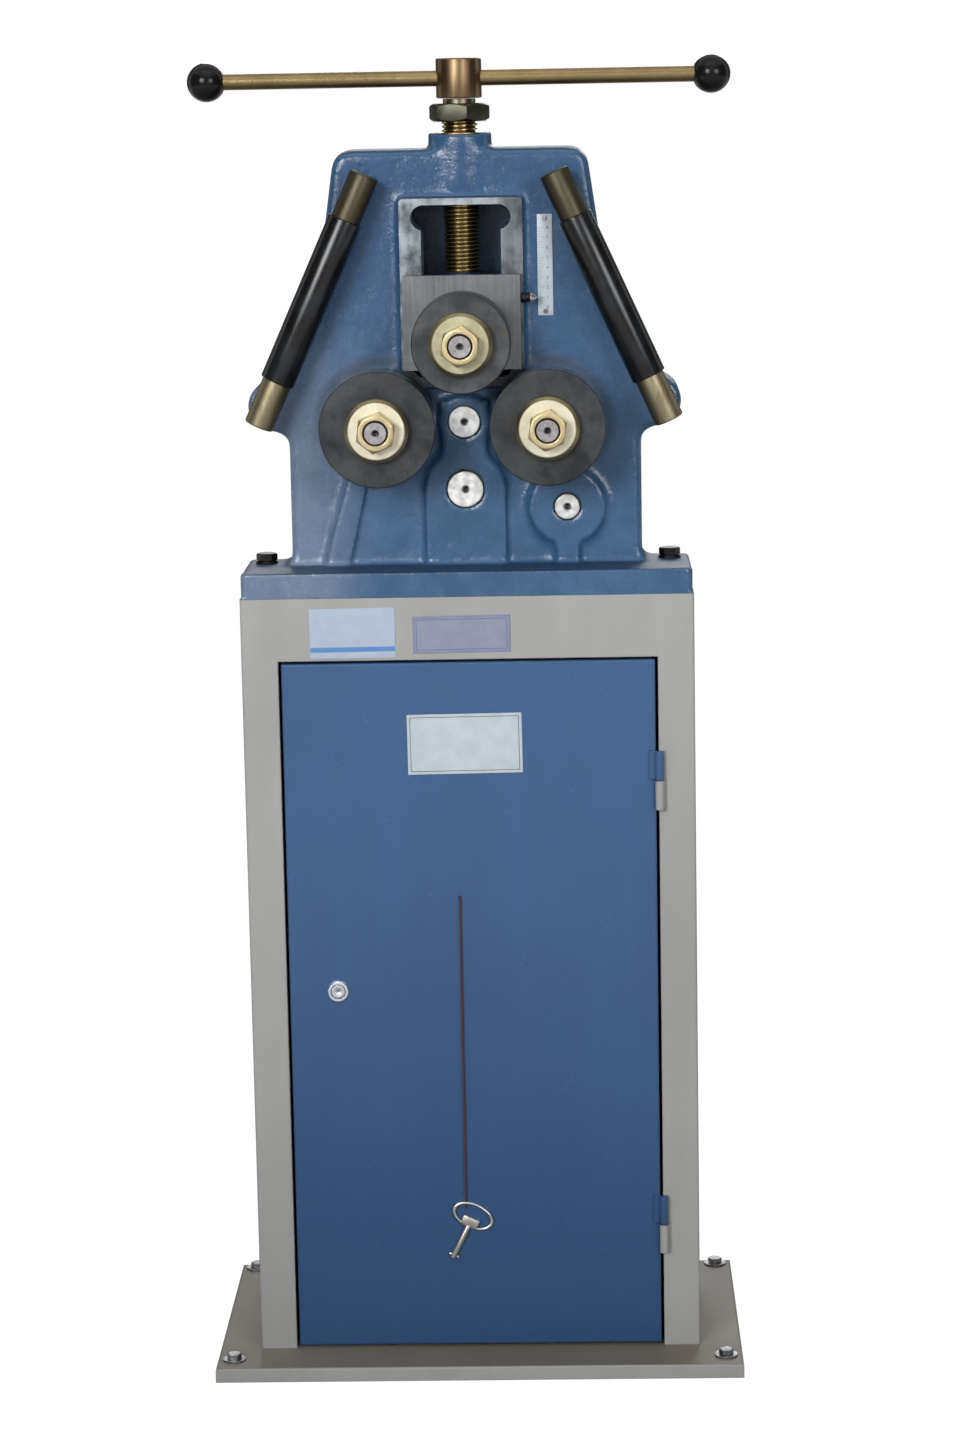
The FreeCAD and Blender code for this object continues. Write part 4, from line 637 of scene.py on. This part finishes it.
head = blank_of("head_casting")
for side in (-1, 1):
    rim_tool = turned([(0.0495, 0), (0.0640, 0), (0.0640, 0.0090), (0.0495, 0.0090), (0.0495, 0)],
                      (side * roll_apart, -0.0672, roll_height), backward)
    kept = block(*sorted((side * 0.070, side * 0.30)), -0.08, -0.05, 0.957, 1.06)
    cut(rim_tool, kept, "INTERSECT")
    cut(head, rim_tool)
pad_stock = block(-0.0622, 0.0622, -0.0715, -0.0600, 1.0188, 1.2082)
foot_stock = block(-0.229, 0.229, -0.108, 0.014, 0.803, 0.812)
upper_stock = block(-0.0245, 0.0245, -0.0660, -0.0575, 0.9833, 1.0055)
head = paint(join([head, pad_stock, foot_stock, upper_stock]), head_blue)
work(head, "REMESH", mode="VOXEL", voxel_size=0.0024, adaptivity=0.0)

places = np.empty(len(head.data.vertices) * 3)
head.data.vertices.foreach_get("co", places)
x, y, z = places.reshape(-1, 3).T
rim = [(0.127, 1.257), (0.1405, 1.163), (0.2065, 1.0145), (0.2025, 0.979), (0.1795, 0.9685),
       (0.1795, 0.836)]
side_gap = np.full(len(x), 9.0)
for (ax, az), (bx, bz) in zip([(0.0, 1.257)] + rim, rim):
    along = np.array((bx - ax, bz - az))
    off = np.stack((np.abs(x) - ax, z - az), axis=1)
    share = np.clip(off @ along / (along @ along), 0, 1)
    side_gap = np.minimum(side_gap, np.linalg.norm(off - share[:, None] * along, axis=1))
soft_rim = np.clip(1 - side_gap / 0.011, 0, 1) * (y < -0.040) * (z > 0.85)
root = np.clip((y + 0.0645) / 0.003, 0, 1) * (y < -0.050) * (z > 0.840)
low_root = np.clip(1 - np.abs(z - 0.838) / 0.008, 0, 1) * (y > -0.095) * 0.8
for name, weights in (("rim", soft_rim), ("root", np.maximum(root, low_root))):
    group = head.vertex_groups.new(name=name)
    for level in range(1, 11):
        chosen = np.nonzero((weights > (level - 1) / 10) & (weights <= level / 10))[0]
        group.add([int(index) for index in chosen], level / 10, "REPLACE")
work(head, "SMOOTH", factor=0.5, iterations=5)
work(head, "SMOOTH", factor=0.5, iterations=26, vertex_group="root")
work(head, "SMOOTH", factor=0.5, iterations=34, vertex_group="rim")

cut(head, block(-0.30, 0.30, -0.20, 0.10, 0.79, 0.8101), material=head_blue)
cut(head, block(-0.070, 0.070, -0.09, -0.0660, 1.0110, 1.2160), material=bare_iron)
slot_tool = block(-0.0403, 0.0403, -0.09, 0.03, 1.0280, 1.2015)
for side in (-1, 1):
    for height in (1.0405, 1.1890):
        cut(slot_tool, drill(0.0125, side * 0.038, height, -0.09, 0.03, 40), "UNION")
cut(head, slot_tool, material=slot_iron)
for radius, x, z in ((0.0169, 0.0, roll_height), (0.0188, 0.0, 0.91455),
                     (0.0133, 0.10321, 0.89525), (0.0190, -roll_apart, roll_height),
                     (0.0190, roll_apart, roll_height)):
    cut(head, drill(radius, x, z, -0.09, -0.050), material=slot_iron)
keep_one(head)
bpy.ops.mesh.primitive_cylinder_add(vertices=72, radius=0.0252, depth=0.090,
                                    location=(0, screw_y, 1.2450))
cut(head, bpy.context.object, material=bare_iron)
lay(head, "head_body", None, "stand", ["head_casting"], angle=38)

dress(head_blue, "rear_cover")

# ------------------------------------------------------------------ screw, nut and T-handle
# The feed screw has a coarse trapezoidal thread and runs in a bronze nut in the head's top boss.
# A jam nut, a turned hub and a plain bar with two black ball knobs are fixed on it.


def hexagon(flats, height, bore, start, way, turn=0.0):
    """Hexagon nut: a six-sided bar with its corners turned off at both ends, then bored."""
    bpy.ops.object.select_all(action="DESELECT")
    bpy.ops.mesh.primitive_cylinder_add(vertices=6, radius=flats / math.sqrt(3), depth=height,
                                        location=(0, 0, height / 2), rotation=(0, 0, turn))
    made = bpy.context.object
    bpy.ops.object.transform_apply(location=True, rotation=True, scale=True)
    corner = flats / math.sqrt(3) + 0.0001
    face = 0.475 * flats
    slope = (corner - face) * math.tan(math.radians(30))
    cut(made, turned([(face, 0), (corner, slope), (corner, height - slope), (face, height)],
                     (0, 0, 0), upright), "INTERSECT")
    cut(made, turned([(bore + 0.0012, -0.0002), (bore, 0.0012), (bore, height - 0.0012),
                      (bore + 0.0012, height + 0.0002)], (0, 0, 0), upright, 48))
    work(made, "BEVEL", width=0.0003, segments=2, limit_method="ANGLE",
         angle_limit=math.radians(25))
    return aim(made, start, way)


screw_gold, thread_shade = finish("screw_steel")
here = thread_shade.place(move=(0, -screw_y, 0))
cloud = thread_shade.noise(here, 90.0, 5.0, 0.6)
radius = thread_shade.axis(0, here).reach(thread_shade.axis(1, here))
# The thread's roots and flanks are painted near black: oil and painted shade.
grease_and_shade = radius.step(0.01775, 0.0166) * 0.93
tone = cloud.step(0.3, 0.7).mix((0.50, 0.38, 0.15, 1), (0.33, 0.24, 0.09, 1))
thread_shade.surface(Base_Color=grease_and_shade.mix(tone, (0.020, 0.017, 0.010, 1)), Metallic=1.0,
                     Roughness=cloud * 0.12 + grease_and_shade * 0.15 + 0.14)
neck_zinc = plated("neck_zinc", (0.24, 0.15, 0.11), (0.16, 0.19, 0.13), 0.30, 0.0006,
                   0.5, 140.0, 0.05, (1, 1, 0.15))
hub_zinc = plated("hub_yellow_zinc", (0.185, 0.132, 0.070), (0.118, 0.072, 0.046), 0.33, 0.0008,
                  0.8, 170.0, 0.05, (1, 1, 0.04))
nut_zinc = plated("jam_nut_zinc", (0.082, 0.082, 0.064), (0.054, 0.052, 0.038), 0.40, 0.0005,
                  0.9, 60.0, 0.05)
bar_zinc = plated("bar_yellow_zinc", (0.245, 0.185, 0.092), (0.175, 0.125, 0.062), 0.34, 0.0004,
                  0.9, 22.0, 0.003)
ball_black, ball_shade = finish("ball_black")
ball_cloud = ball_shade.noise(ball_shade.place(), 60.0, 4.0, 0.6)
ball_shade.surface(Base_Color=ball_cloud.mix((0.004, 0.004, 0.005, 1), (0.010, 0.010, 0.011, 1)),
                   Roughness=ball_cloud * 0.1 + 0.14, Specular_IOR_Level=0.16)

thread_low, thread_high = 1.1330, 1.3010
pitch = 0.004
bpy.ops.object.select_all(action="DESELECT")
bpy.ops.mesh.primitive_plane_add(size=1)
thread = bpy.context.object
bpy.ops.object.mode_set(mode="EDIT")
bpy.ops.mesh.select_all(action="SELECT")
bpy.ops.mesh.delete(type="VERT")
bpy.ops.object.mode_set(mode="OBJECT")
flank = [(0.0158, 0.0), (0.0178, 0.0006), (0.0180, 0.0008), (0.0180, 0.0020), (0.0178, 0.0022),
         (0.0158, 0.0028), (0.0158, 0.0040)]
thread.data.from_pydata([(radius, 0, height) for radius, height in flank],
                        [(index, index + 1) for index in range(len(flank) - 1)], [])
work(thread, "SCREW", angle=2 * math.pi, screw_offset=pitch, iterations=46, steps=56,
     render_steps=56, use_merge_vertices=True, merge_threshold=0.00001)
thread.location = (0, screw_y, thread_low - 0.006)
settle(thread)
bpy.ops.object.mode_set(mode="EDIT")
for height, upper in ((thread_low, False), (thread_high, True)):
    bpy.ops.mesh.select_all(action="SELECT")
    bpy.ops.mesh.bisect(plane_co=(0, 0, height), plane_no=(0, 0, 1), use_fill=True,
                        clear_outer=upper, clear_inner=not upper)
bpy.ops.mesh.select_all(action="SELECT")
bpy.ops.mesh.normals_make_consistent(inside=False)
bpy.ops.object.mode_set(mode="OBJECT")
foot = turned([(0.0170, 0), (0.0170, 0.008), (0.0120, 0.0082), (0.0120, 0.0150)],
              (0, screw_y, 1.1126), upright, 64)
neck = turned([(0.0165, 0), (0.0165, 0.0052)], (0, screw_y, thread_high), upright)
thread = join([paint(thread, screw_gold), paint(foot, screw_gold), paint(neck, neck_zinc)])
lay(thread, "feed_screw", None, "screw", ["screw_spindle"])

jam = hexagon(0.055, 0.018, 0.0181, (0, screw_y, 1.2837), upright, math.radians(15))
lay(jam, "screw_jam_nut", nut_zinc, "screw", ["jam_nut"])

bar_way = Vector((math.cos(math.radians(1.6)), math.sin(math.radians(1.6)), 0))
bar_middle = Vector((0, screw_y, 1.32670))
hub = turned([(0.0220, 0), (0.0230, 0.001), (0.0230, 0.0382), (0.0226, 0.0393), (0.0214, 0.0400)],
             (0, screw_y, 1.3067), upright, 128, 0.0004)
cut(hub, turned([(0.0081, 0), (0.0081, 0.1)], bar_middle - bar_way * 0.05, bar_way, 64))
lay(hub, "handle_head", hub_zinc, "screw", ["handle_hub"])
bar = turned([(0.0072, 0), (0.0080, 0.0008), (0.0080, 0.4832), (0.0072, 0.4840)],
             bar_middle - bar_way * 0.242, bar_way, 64)
lay(bar, "handle_rod", bar_zinc, "screw", ["handle_bar"])

ball_profile = [(0.0085, -0.0172)]
for step in range(1, 30):
    turn = math.radians(-61 + step * 5.0)
    ball_profile.append((0.0195 * math.cos(turn), 0.0195 * math.sin(turn)))
ball_profile.append((0.0010, 0.0195))
balls = [turned(ball_profile, bar_middle + bar_way * side * 0.2544, bar_way * side, 64)
         for side in (-1, 1)]
lay(join(balls), "handle_balls", ball_black, "screw", ["ball_knobs"], 45)

bronze = plated("bearing_bronze", (0.42, 0.29, 0.12), (0.30, 0.20, 0.09), 0.35, 0.0004)
dress(bronze, "screw_nut", "top_bushes")
greased_bronze = plated("greased_bronze", (0.060, 0.045, 0.028), (0.030, 0.024, 0.018), 0.45,
                        0.0003)
dress(greased_bronze, "shaft_bushes")

# ------------------------------------------------------------------ cam lock
# The lock's housing is a turned ring with a faceted bevel, held by a nut behind the door. Its
# core turns with the cam, and has a small round hole in its closed dust flap.

lock_x, lock_z = -0.140, 0.401
ring = turned([(0.0077, 0.0010), (0.0079, 0.0), (0.0100, 0.0), (0.0104, 0.0003), (0.0115, 0.0018),
               (0.0115, 0.0040), (0.0090, 0.0041), (0.0090, 0.0220), (0.0077, 0.0220),
               (0.0077, 0.0010)], (lock_x, -0.112, lock_z), backward, 22)
lock_nut = hexagon(0.024, 0.005, 0.0092, (lock_x, -0.106, lock_z), backward)
lay(join([ring, lock_nut]), "lock_ring", lock_zinc, "door", ["lock_body"], 12)
lock_face = turned([(0.0003, 0.0032), (0.0008, 0.0028), (0.0008, 0.0006), (0.0011, 0.0004),
                    (0.0060, 0.0001), (0.0067, 0.0002), (0.0073, 0.0009), (0.0073, 0.0225),
                    (0.0053, 0.0226), (0.0053, 0.0258)], (lock_x, -0.1117, lock_z), backward, 64)
lay(lock_face, "lock_plug", core_zinc, "lock", ["lock_core"])

# ------------------------------------------------------------------ slide, pointer and scale
# The slide is a ground steel block that a neck guides in the slot. A black collar with a bright
# cone on its side points at a white scale with a tick every 2 mm and figures in centimetres.

ground_steel, ground_shade = finish("ground_steel")
here = ground_shade.place()
cloud = ground_shade.noise(here, 18.0, 4.0, 0.6)
lines = ground_shade.noise(ground_shade.place(scale=(1, 1, 0.02)), 520.0, 3.0, 0.6)
oil = ground_shade.noise(here, 60.0, 5.0, 0.65).step(0.55, 0.72)
tone = (cloud * 0.6 + lines * 0.4).step(0.36, 0.66)
tone = tone.mix((0.105, 0.110, 0.117, 1), (0.170, 0.176, 0.184, 1))
tone = (oil * 0.45).mix(tone, (0.10, 0.10, 0.098, 1))
ground_shade.surface(Base_Color=tone, Metallic=0.85, Roughness=cloud * 0.18 + 0.34,
                     Normal=ground_shade.bump(0.12, 0.0002, lines, ground_shade.edge(0.0007)))
dress(ground_steel, "slide_block", "slide_keeper", "rod_spacers")

bright_steel = plated("bright_steel", (0.74, 0.73, 0.71), (0.60, 0.59, 0.57), 0.28, 0.0003)
collar = turned([(0.0044, 0), (0.0050, 0.0006), (0.0050, 0.0052), (0.0043, 0.0054),
                 (0.0043, 0.0074), (0.0050, 0.0076), (0.0050, 0.0094), (0.0046, 0.0099)],
                (0.0593, -0.075, 1.1084), (1, 0, 0), 48)
cone = turned([(0.0049, 0), (0.0050, 0.0003), (0.0004, 0.0080)],
              (0.0692, -0.075, 1.1084), (1, 0, 0), 48)
collar_and_cone = join([paint(collar, black_oxide), paint(cone, bright_steel)])
lay(collar_and_cone, "slide_pointer", None, "slide", ["pointer"], 30)

scale_white = printed("scale_white", (0.39, 0.44, 0.48), (0.47, 0.52, 0.56), 90.0, 0.3)
scale_black, figure_shade = finish("scale_black")
figure_cloud = figure_shade.noise(figure_shade.place(), 300.0, 2.0, 0.5)
figure_shade.surface(Base_Color=figure_cloud.mix((0.03, 0.03, 0.035, 1), (0.06, 0.06, 0.07, 1)),
                     Roughness=0.5)
scale_zero = 1.0974
scale_plate = block(0.0767, 0.0921, -0.0600, -0.0581, 1.0890, 1.1906)
work(scale_plate, "BEVEL", width=0.0004, segments=2, limit_method="ANGLE")
paint(scale_plate, scale_white)
marks = []
for millimetre in range(0, 81, 2):
    tick = 0.0062 if millimetre % 10 == 0 else 0.0034
    height = scale_zero + millimetre / 1000
    marks.append(block(0.0772, 0.0772 + tick, -0.06006, -0.0599, height - 0.00014,
                       height + 0.00014))
for figure in range(9):
    bpy.ops.object.select_all(action="DESELECT")
    bpy.ops.object.text_add(location=(0.0868, -0.06004, scale_zero + figure / 100 - 0.0016),
                            rotation=(math.radians(90), 0, 0))
    letter = bpy.context.object
    letter.data.body = str(figure)
    letter.data.size = 0.0046
    letter.data.extrude = 0.00004
    letter.data.align_x = "CENTER"
    bpy.ops.object.convert(target="MESH")
    marks.append(letter)
for mark in marks:
    settle(mark)
    paint(mark, scale_black)
lay(join([scale_plate] + marks), "travel_scale", None, "stand", ["scale_plate"], 30)
scale_screw_steel = plated("scale_screw_steel", (0.12, 0.12, 0.13), (0.30, 0.30, 0.31), 0.40,
                           0.0004)
dress(scale_screw_steel, "scale_screws")

# ------------------------------------------------------------------ rolls
# Each roll is a turned dark steel disc on a plated stud, held by a thick conical washer and a
# hexagon nut. The lower rolls have a second, serrated disc behind the plain one.


def roll_steel(name, x, z, level=1.0):
    """Turned dark steel with fine rings round the roll's own axis, and brown oil stains."""
    metal, shade = finish(name)
    here = shade.place(move=(-x, 0, -z))
    radius = shade.axis(0, here).reach(shade.axis(2, here))
    rings = shade.node("TexNoise", {"noise_dimensions": "1D"}, W=radius, Scale=2600.0, Detail=2.0)
    cloud = shade.noise(shade.place(), 22.0, 5.0, 0.62)
    smear = shade.noise(shade.place(), 75.0, 4.0, 0.6)
    dark, light, brown = (tuple(level * part for part in colour) + (1,) for colour in (
        (0.019, 0.0215, 0.0245), (0.052, 0.056, 0.059), (0.036, 0.028, 0.018)))
    tone = (cloud * 0.7 + smear * 0.3).step(0.36, 0.64).mix(dark, light)
    tone = (smear.step(0.56, 0.70) * 0.55).mix(tone, brown)
    shade.surface(Base_Color=tone, Metallic=0.75, Roughness=cloud * 0.22 + 0.36,
                  Normal=shade.bump(0.05, 0.0002, rings, shade.edge(0.0007)))
    return metal


serrated_steel = plated("serrated_steel", (0.17, 0.20, 0.24), (0.30, 0.33, 0.37), 0.36, 0.0001)
cap_zinc = plated("cap_yellow_zinc", (0.60, 0.58, 0.47), (0.50, 0.47, 0.34), 0.44, 0.0006, 0.9)
cap_rim_zinc = plated("cap_rim_yellow_zinc", (0.27, 0.24, 0.14), (0.20, 0.17, 0.09), 0.40, 0.0006,
                      0.9)
roll_nut_zinc = plated("nut_yellow_zinc", (0.56, 0.46, 0.29), (0.46, 0.37, 0.20), 0.32, 0.0004, 0.9,
                       110.0)
stud_steel = plated("stud_steel", (0.40, 0.39, 0.40), (0.22, 0.20, 0.20), 0.34, 0.0003, 0.9, 150.0)

roll_front = -0.142
washer_front = -0.157
stud_front = -0.1755
top_roll_height = 1.0672
cap_profile = [(0.0122, 0), (0.0276, 0), (0.0286, 0.0006), (0.0318, 0.0042), (0.0318, 0.0146),
               (0.0314, 0.0150), (0.0122, 0.0150), (0.0122, 0)]
stud_profile = [(0.0004, 0.0070), (0.0026, 0.0062), (0.0026, 0.0014), (0.0040, 0.0), (0.0108, 0.0),
                (0.0119, 0.0016), (0.0119, 0.0360)]


def oiled_hole(piece, metal, x, z, inner=0.0028, outer=9.0, deep=9.0):
    """Two finishes on a centre-drilled piece: its metal, and black in the small hole and outside a
    radius in front of a depth, which stands for oil and painted shade."""
    paint(piece, metal, black_oxide)
    corners = [(math.hypot(point.co.x - x, point.co.z - z), point.co.y)
               for point in piece.data.vertices]
    for face in piece.data.polygons:
        reach = [corners[index] for index in face.vertices]
        face.material_index = int(max(reach)[0] < inner
                                  or (min(reach)[0] > outer and max(y for _, y in reach) < deep))
    return piece


def roll_shaft(name, body, x, z, seat_profile, node):
    """Drilled stud end in front of one roll, and the stepped shaft behind it."""
    stud = turned(stud_profile, (x, stud_front, z), backward, 64)
    seat = turned(seat_profile, (x, -0.140, z), backward, 64)
    oiled_hole(stud, stud_steel, x, z, outer=0.0107, deep=washer_front)
    lay(join([stud, paint(seat, stud_steel)]), name, None, body, [node])


def roll_end(name, body, x, z, nut_nodes, face_zinc, rear_nut=False):
    """Washer and nut in front of one roll, and with rear_nut a thin nut behind it."""
    cap = paint(turned(cap_profile, (x, washer_front, z), backward, 128), face_zinc, cap_rim_zinc)
    for face in cap.data.polygons:
        face.material_index = int(math.hypot(face.center.x - x, face.center.z - z) > 0.0283)
    lay(cap, name + "_washer", None, body, [name + "_cap"], 16)
    nuts = [hexagon(0.036, 0.0185, 0.0120, (x, stud_front, z), backward, 0.14)]
    if rear_nut:
        nuts.append(hexagon(0.036, 0.008, 0.0120, (x, 0.0144, z), backward, 0.14))
    lay(join(nuts), name + "_roll_nut", roll_nut_zinc, body, nut_nodes)


teeth = 210
for name, x in (("left", -roll_apart), ("right", roll_apart)):
    body = name + "_roll"
    disc = turned([(0.0151, 0), (0.0572, 0), (0.0580, 0.0007), (0.0580, 0.0056), (0.0576, 0.0060),
                   (0.0151, 0.0060), (0.0151, 0)], (x, roll_front, roll_height), backward, 160)
    lay(disc, name + "_plain_disc", roll_steel(name + "_roll_steel", x, roll_height), body,
        [name + "_front_disc"])
    knurled = turned([(0.0151, 0), (0.0572, 0), (0.0580, 0.0008), (0.0580, 0.0492),
                      (0.0572, 0.0500), (0.0151, 0.0500), (0.0151, 0)],
                     (x, -0.136, roll_height), backward, 2 * teeth)
    for point in knurled.data.vertices:
        out, up = point.co.x - x, point.co.z - roll_height
        spoke = round(math.atan2(up, out) * teeth / math.pi)
        point.select = math.hypot(out, up) > 0.0565 and spoke % 2 == 1
    bpy.ops.object.mode_set(mode="EDIT")
    bpy.ops.mesh.select_mode(type="VERT")
    bpy.ops.transform.resize(value=(0.979, 1, 0.979), center_override=(x, -0.136, roll_height))
    bpy.ops.mesh.select_all(action="SELECT")
    bpy.ops.object.mode_set(mode="OBJECT")
    lay(knurled, name + "_serrated_disc", serrated_steel, body, [name + "_rear_disc"],
        20)
    roll_shaft(name + "_roll_shaft", body, x, roll_height, [
        (0.0150, 0), (0.0150, 0.0539), (0.0250, 0.0541), (0.0250, 0.0737), (0.0175, 0.0739),
        (0.0175, 0.0970), (0.0160, 0.0972), (0.0160, 0.1520), (0.0125, 0.1522), (0.0125, 0.1638)],
        name + "_shaft")
    roll_end(name, body, x, roll_height, [name + "_nut"], cap_zinc)

disc = turned([(0.0151, 0), (0.0483, 0), (0.0495, 0.0010), (0.0495, 0.0550), (0.0485, 0.0560),
               (0.0151, 0.0560), (0.0151, 0)], (0, roll_front, top_roll_height), backward, 160)
lay(disc, "upper_disc", roll_steel("top_roll_steel", 0.0, top_roll_height, 1.5), "upper_roll",
    ["top_roll"])
roll_shaft("upper_shaft", "upper_roll", 0, top_roll_height, [
    (0.0150, 0), (0.0150, 0.0540), (0.0230, 0.0541), (0.0230, 0.0557), (0.0150, 0.0558),
    (0.0150, 0.1543), (0.0119, 0.1545), (0.0119, 0.1630)], "top_shaft")
top_zinc = plated("top_yellow_zinc", (0.40, 0.385, 0.270), (0.285, 0.270, 0.172), 0.44, 0.0006, 0.9)
roll_end("top", "upper_roll", 0.0, top_roll_height, ["top_nuts"], top_zinc, True)

# ------------------------------------------------------------------ gear train
# Cut steel gears inside the head, on shafts whose ends show in the bosses as bright, centre-drilled
# discs. The idler runs on a fixed axle.

gear_steel = plated("gear_steel", (0.33, 0.33, 0.32), (0.20, 0.20, 0.19), 0.38, 0.0004)
dress(gear_steel, "left_gear", "right_gear", "idler_gear", "large_gear")
shaft_end, end_shade = finish("shaft_end_steel")
here = end_shade.place()
end_cloud = end_shade.noise(here, 130.0, 4.0, 0.6)
end_grain = end_shade.noise(here, 900.0, 2.0, 0.5)
tone = end_cloud.step(0.35, 0.68).mix((0.50, 0.50, 0.49, 1), (0.78, 0.78, 0.77, 1))
end_shade.surface(Base_Color=tone, Metallic=0.9, Roughness=end_cloud * 0.2 + 0.30,
                  Normal=end_shade.bump(0.15, 0.0002, end_grain, end_shade.edge(0.0005)))

shaft_front = -0.068
drilled = [(0.0004, 0.0082), (0.0029, 0.0074), (0.0029, 0.0016)]
axle = turned(drilled + [(0.0044, 0.0), (0.0154, 0), (0.0163, 0.0010), (0.0163, 0.0238),
                         (0.0120, 0.0240), (0.0120, 0.0525)],
              (0, shaft_front, roll_height), backward)
oiled_hole(axle, shaft_end, 0, roll_height, inner=0.0031)
axle_clip = turned([(0.0121, 0), (0.0165, 0), (0.0165, 0.0015), (0.0121, 0.0015), (0.0121, 0)],
                   (0, -0.0177, roll_height), backward, 64)
lay(join([axle, paint(axle_clip, shaft_end)]), "idler_pin", None, "stand", ["idler_axle"])
for name, stands_for, body, x, z in (("lay_shaft", "layshaft", "countershaft", 0.0, 0.91455),
                                     ("drive_shaft", "crank_shaft", "crank", 0.103211, 0.89525)):
    shaft = paint(blank_of(stands_for), shaft_end)
    cut(shaft, turned(drilled + [(0.0046, -0.0002)], (x, shaft_front, z), backward, 32))
    oiled_hole(shaft, shaft_end, x, z, inner=0.0031)
    lay(shaft, name, None, body, [stands_for])

# ------------------------------------------------------------------ side rollers
# A yellow-plated rod slants down each side of the head on two spacers. A black steel sleeve turns
# on the middle of each rod, in a shallow seat.

rod_zinc = plated("rod_yellow_zinc", (0.30, 0.27, 0.175), (0.19, 0.16, 0.095), 0.42, 0.0010,
                  0.8, 70.0, 0.05, (1, 1, 0.25), (0.99, 1.20, (0.064, 0.057, 0.037)))
sleeve_black, sleeve_shade = finish("sleeve_black")
sleeve_cloud = sleeve_shade.noise(sleeve_shade.place(), 30.0, 5.0, 0.6)
sleeve_scuff = sleeve_shade.noise(sleeve_shade.place(), 240.0, 3.0, 0.6)
tone = sleeve_cloud.step(0.4, 0.7).mix((0.008, 0.008, 0.009, 1), (0.016, 0.018, 0.020, 1))
sleeve_shade.surface(Base_Color=tone, Metallic=0.4, Roughness=sleeve_cloud * 0.12 + 0.18,
                     Normal=sleeve_shade.bump(0.08, 0.0002, sleeve_scuff,
                                              sleeve_shade.edge(0.0008)))
rods = []
for name, side in (("left", -1), ("right", 1)):
    top = Vector((side * 0.0942, -0.086, 1.2337))
    foot = Vector((side * 0.2075, -0.086, 0.9837))
    way = (foot - top).normalized()
    length = (foot - top).length
    start = (length - 0.177) / 2
    rods.append(turned([(0.0128, 0.0), (0.0138, 0.0003), (0.0147, 0.0011), (0.0150, 0.0022),
                        (0.0150, start), (0.0145, start + 0.0001), (0.0145, start + 0.1769),
                        (0.0150, start + 0.177), (0.0150, length - 0.0022),
                        (0.0147, length - 0.0011), (0.0138, length - 0.0003), (0.0128, length)],
                       top, way, 128))
    sleeve = turned([(0.01455, 0), (0.0165, 0), (0.0173, 0.0004), (0.0175, 0.0012),
                     (0.0175, 0.1752), (0.0173, 0.1760), (0.0165, 0.1764), (0.01455, 0.1764),
                     (0.01455, 0)],
                    top + way * (start + 0.0003), way, 128)
    lay(sleeve, name + "_roller", sleeve_black, "sleeve_" + name, [name + "_sleeve"])
lay(join(rods), "side_rods", rod_zinc, "stand", ["rods"])

# ------------------------------------------------------------------ crank
# The hand crank turns the gear train from behind: a flat black arm on a hub, and a barrel-shaped
# plastic grip that turns on its pin.

dress(black_oxide, "crank_arm")
grip_profile = [(0.0071, 0), (0.0105, 0), (0.0120, 0.0015)]
for step in range(11):
    share = step / 10
    grip_profile.append((0.0125 + 0.0024 * math.sin(math.pi * share) ** 0.8, 0.004 + 0.102 * share))
grip_profile += [(0.0120, 0.1085), (0.0105, 0.1100), (0.0071, 0.1100), (0.0071, 0)]
grip = turned(grip_profile, (0.10321, 0.1270, 0.64525), backward, 72)
lay(grip, "crank_handle", ball_black, "grip", ["crank_grip"], 40)
